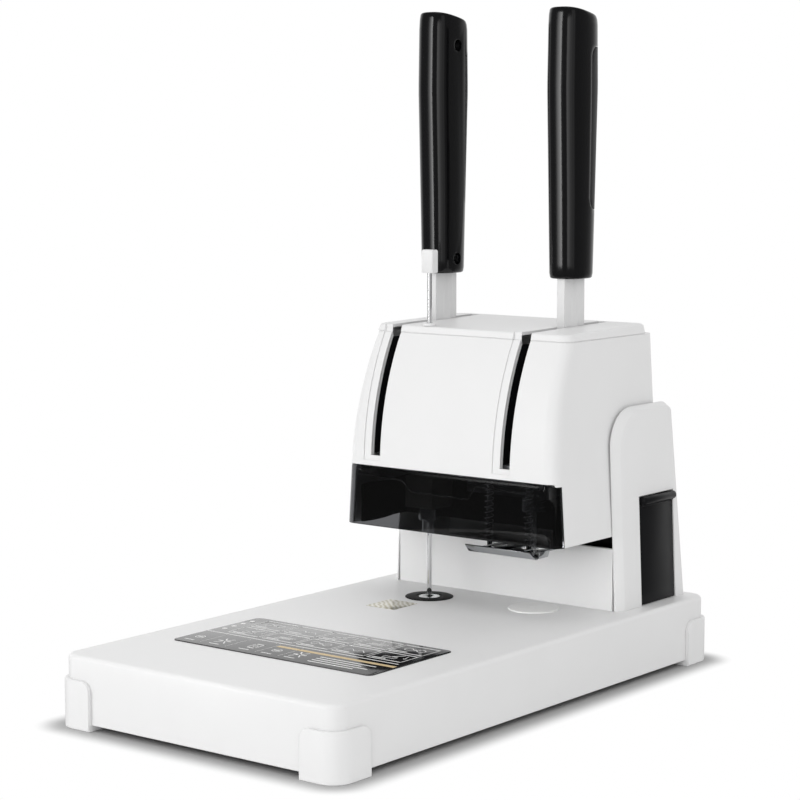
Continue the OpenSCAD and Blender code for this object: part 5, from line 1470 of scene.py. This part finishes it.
def make_grip(hand, inward):
    name, body, x = f"{hand}_handle", f"{hand}_lever", LEVER_XS[hand]
    grip = grip_solid(name, x, inward, 0, GRIP_BLACK)
    core = grip_solid("core", x, inward, PAD_DEEP, GRIP_BLACK)
    pocket = cut(pad_region(x, inward, PAD_GAP), core)
    socket = block((x - SOCKET_HALF[0], PIVOT_Y - SOCKET_HALF[1], GRIP_Z - 5),
                   (x + SOCKET_HALF[0], PIVOT_Y + SOCKET_HALF[1], ARM_TOP + 0.2))
    cut(grip, pocket, socket, *[grip_hole(x, inward, z) for z in GRIP_SCREW_ZS])
    fitted(clean(round_edges(grip, GRIP_EDGE), 35), body, "black_gloss", f"{hand}_grip")
    pad = common(grip_solid(name + "_pad", x, inward, PAD_SHY, PAD_BLACK), pad_region(x, inward, 0))
    cut(pad, grip_solid("core", x, inward, PAD_DEEP, PAD_BLACK))
    fitted(clean(round_edges(pad, GRIP_EDGE), 35), body, "black_plastic", f"{hand}_grip_pad")
    screws(name + "_screws", 2.9, 2.0, Matrix.Rotation(inward * math.pi / 2, 4, "Y"),
           [(x + inward * GRIP_SCREW_IN, PIVOT_Y, z) for z in GRIP_SCREW_ZS], body,
           f"{hand}_grip_screws")


make_grip("rivet", 1)
make_grip("punch", -1)

# ---- Guide rod ---------------------------------------------------------------
# The thin steel rod threads the stack onto the die and lifts out by its white
# knob. A small white collar guides it where it goes through the cap.

ROD_STEEL = metal("ground rod steel", (0.80, 0.80, 0.81), 0.06, play=0.01, size=0.02, depth=0.002,
                  tint=0.02)
ROD_TIP, ROD_TOP = 52.9, 324.5
ROD_PROFILE = ((0.25, 0), (0.6, 0.15), (1.9, 2.7), (2.0, 3.2), (2.0, 259.6))
KNOB_SIZE, KNOB_CORNER = (11, 8, 18), 1.4
KNOB_LEVELS = ((0, 0.7), (0.2, 0.25), (0.6, 0), (16, 0), (17, 0.12), (17.6, 0.4), (17.9, 0.8),
               (18, 1.3))
COLLAR_PROFILE = ((2.35, 0.15), (4.8, 0.15), (4.8, 1.0), (4.6, 1.6), (4.1, 2.0), (3.3, 2.3),
                  (2.7, 2.4), (2.35, 2.2))


def knob_rings():
    low, high = centred(RIVET_XY, KNOB_SIZE, ROD_TOP - KNOB_SIZE[2], KNOB_SIZE[2])
    return [rounded_ring(low, high, KNOB_CORNER - inset / 2, low[2] + z, 8, inset)
            for z, inset in KNOB_LEVELS]


shaped("rod", round_rings(RIVET_XY, ROD_PROFILE, ROD_TIP, 40), ROD_STEEL, "guide_rod",
       "bright_steel", "guide_rod")
shaped("rod_knob", knob_rings(), WHITE, "guide_rod", "white_plastic", "guide_knob", angle=40)
shaped("rod_collar", round_rings(RIVET_XY, COLLAR_PROFILE, SEAM_Z + CAP_H + 0.1), WHITE, "frame",
       "white_plastic", "guide_collar", angle=35, closed=True)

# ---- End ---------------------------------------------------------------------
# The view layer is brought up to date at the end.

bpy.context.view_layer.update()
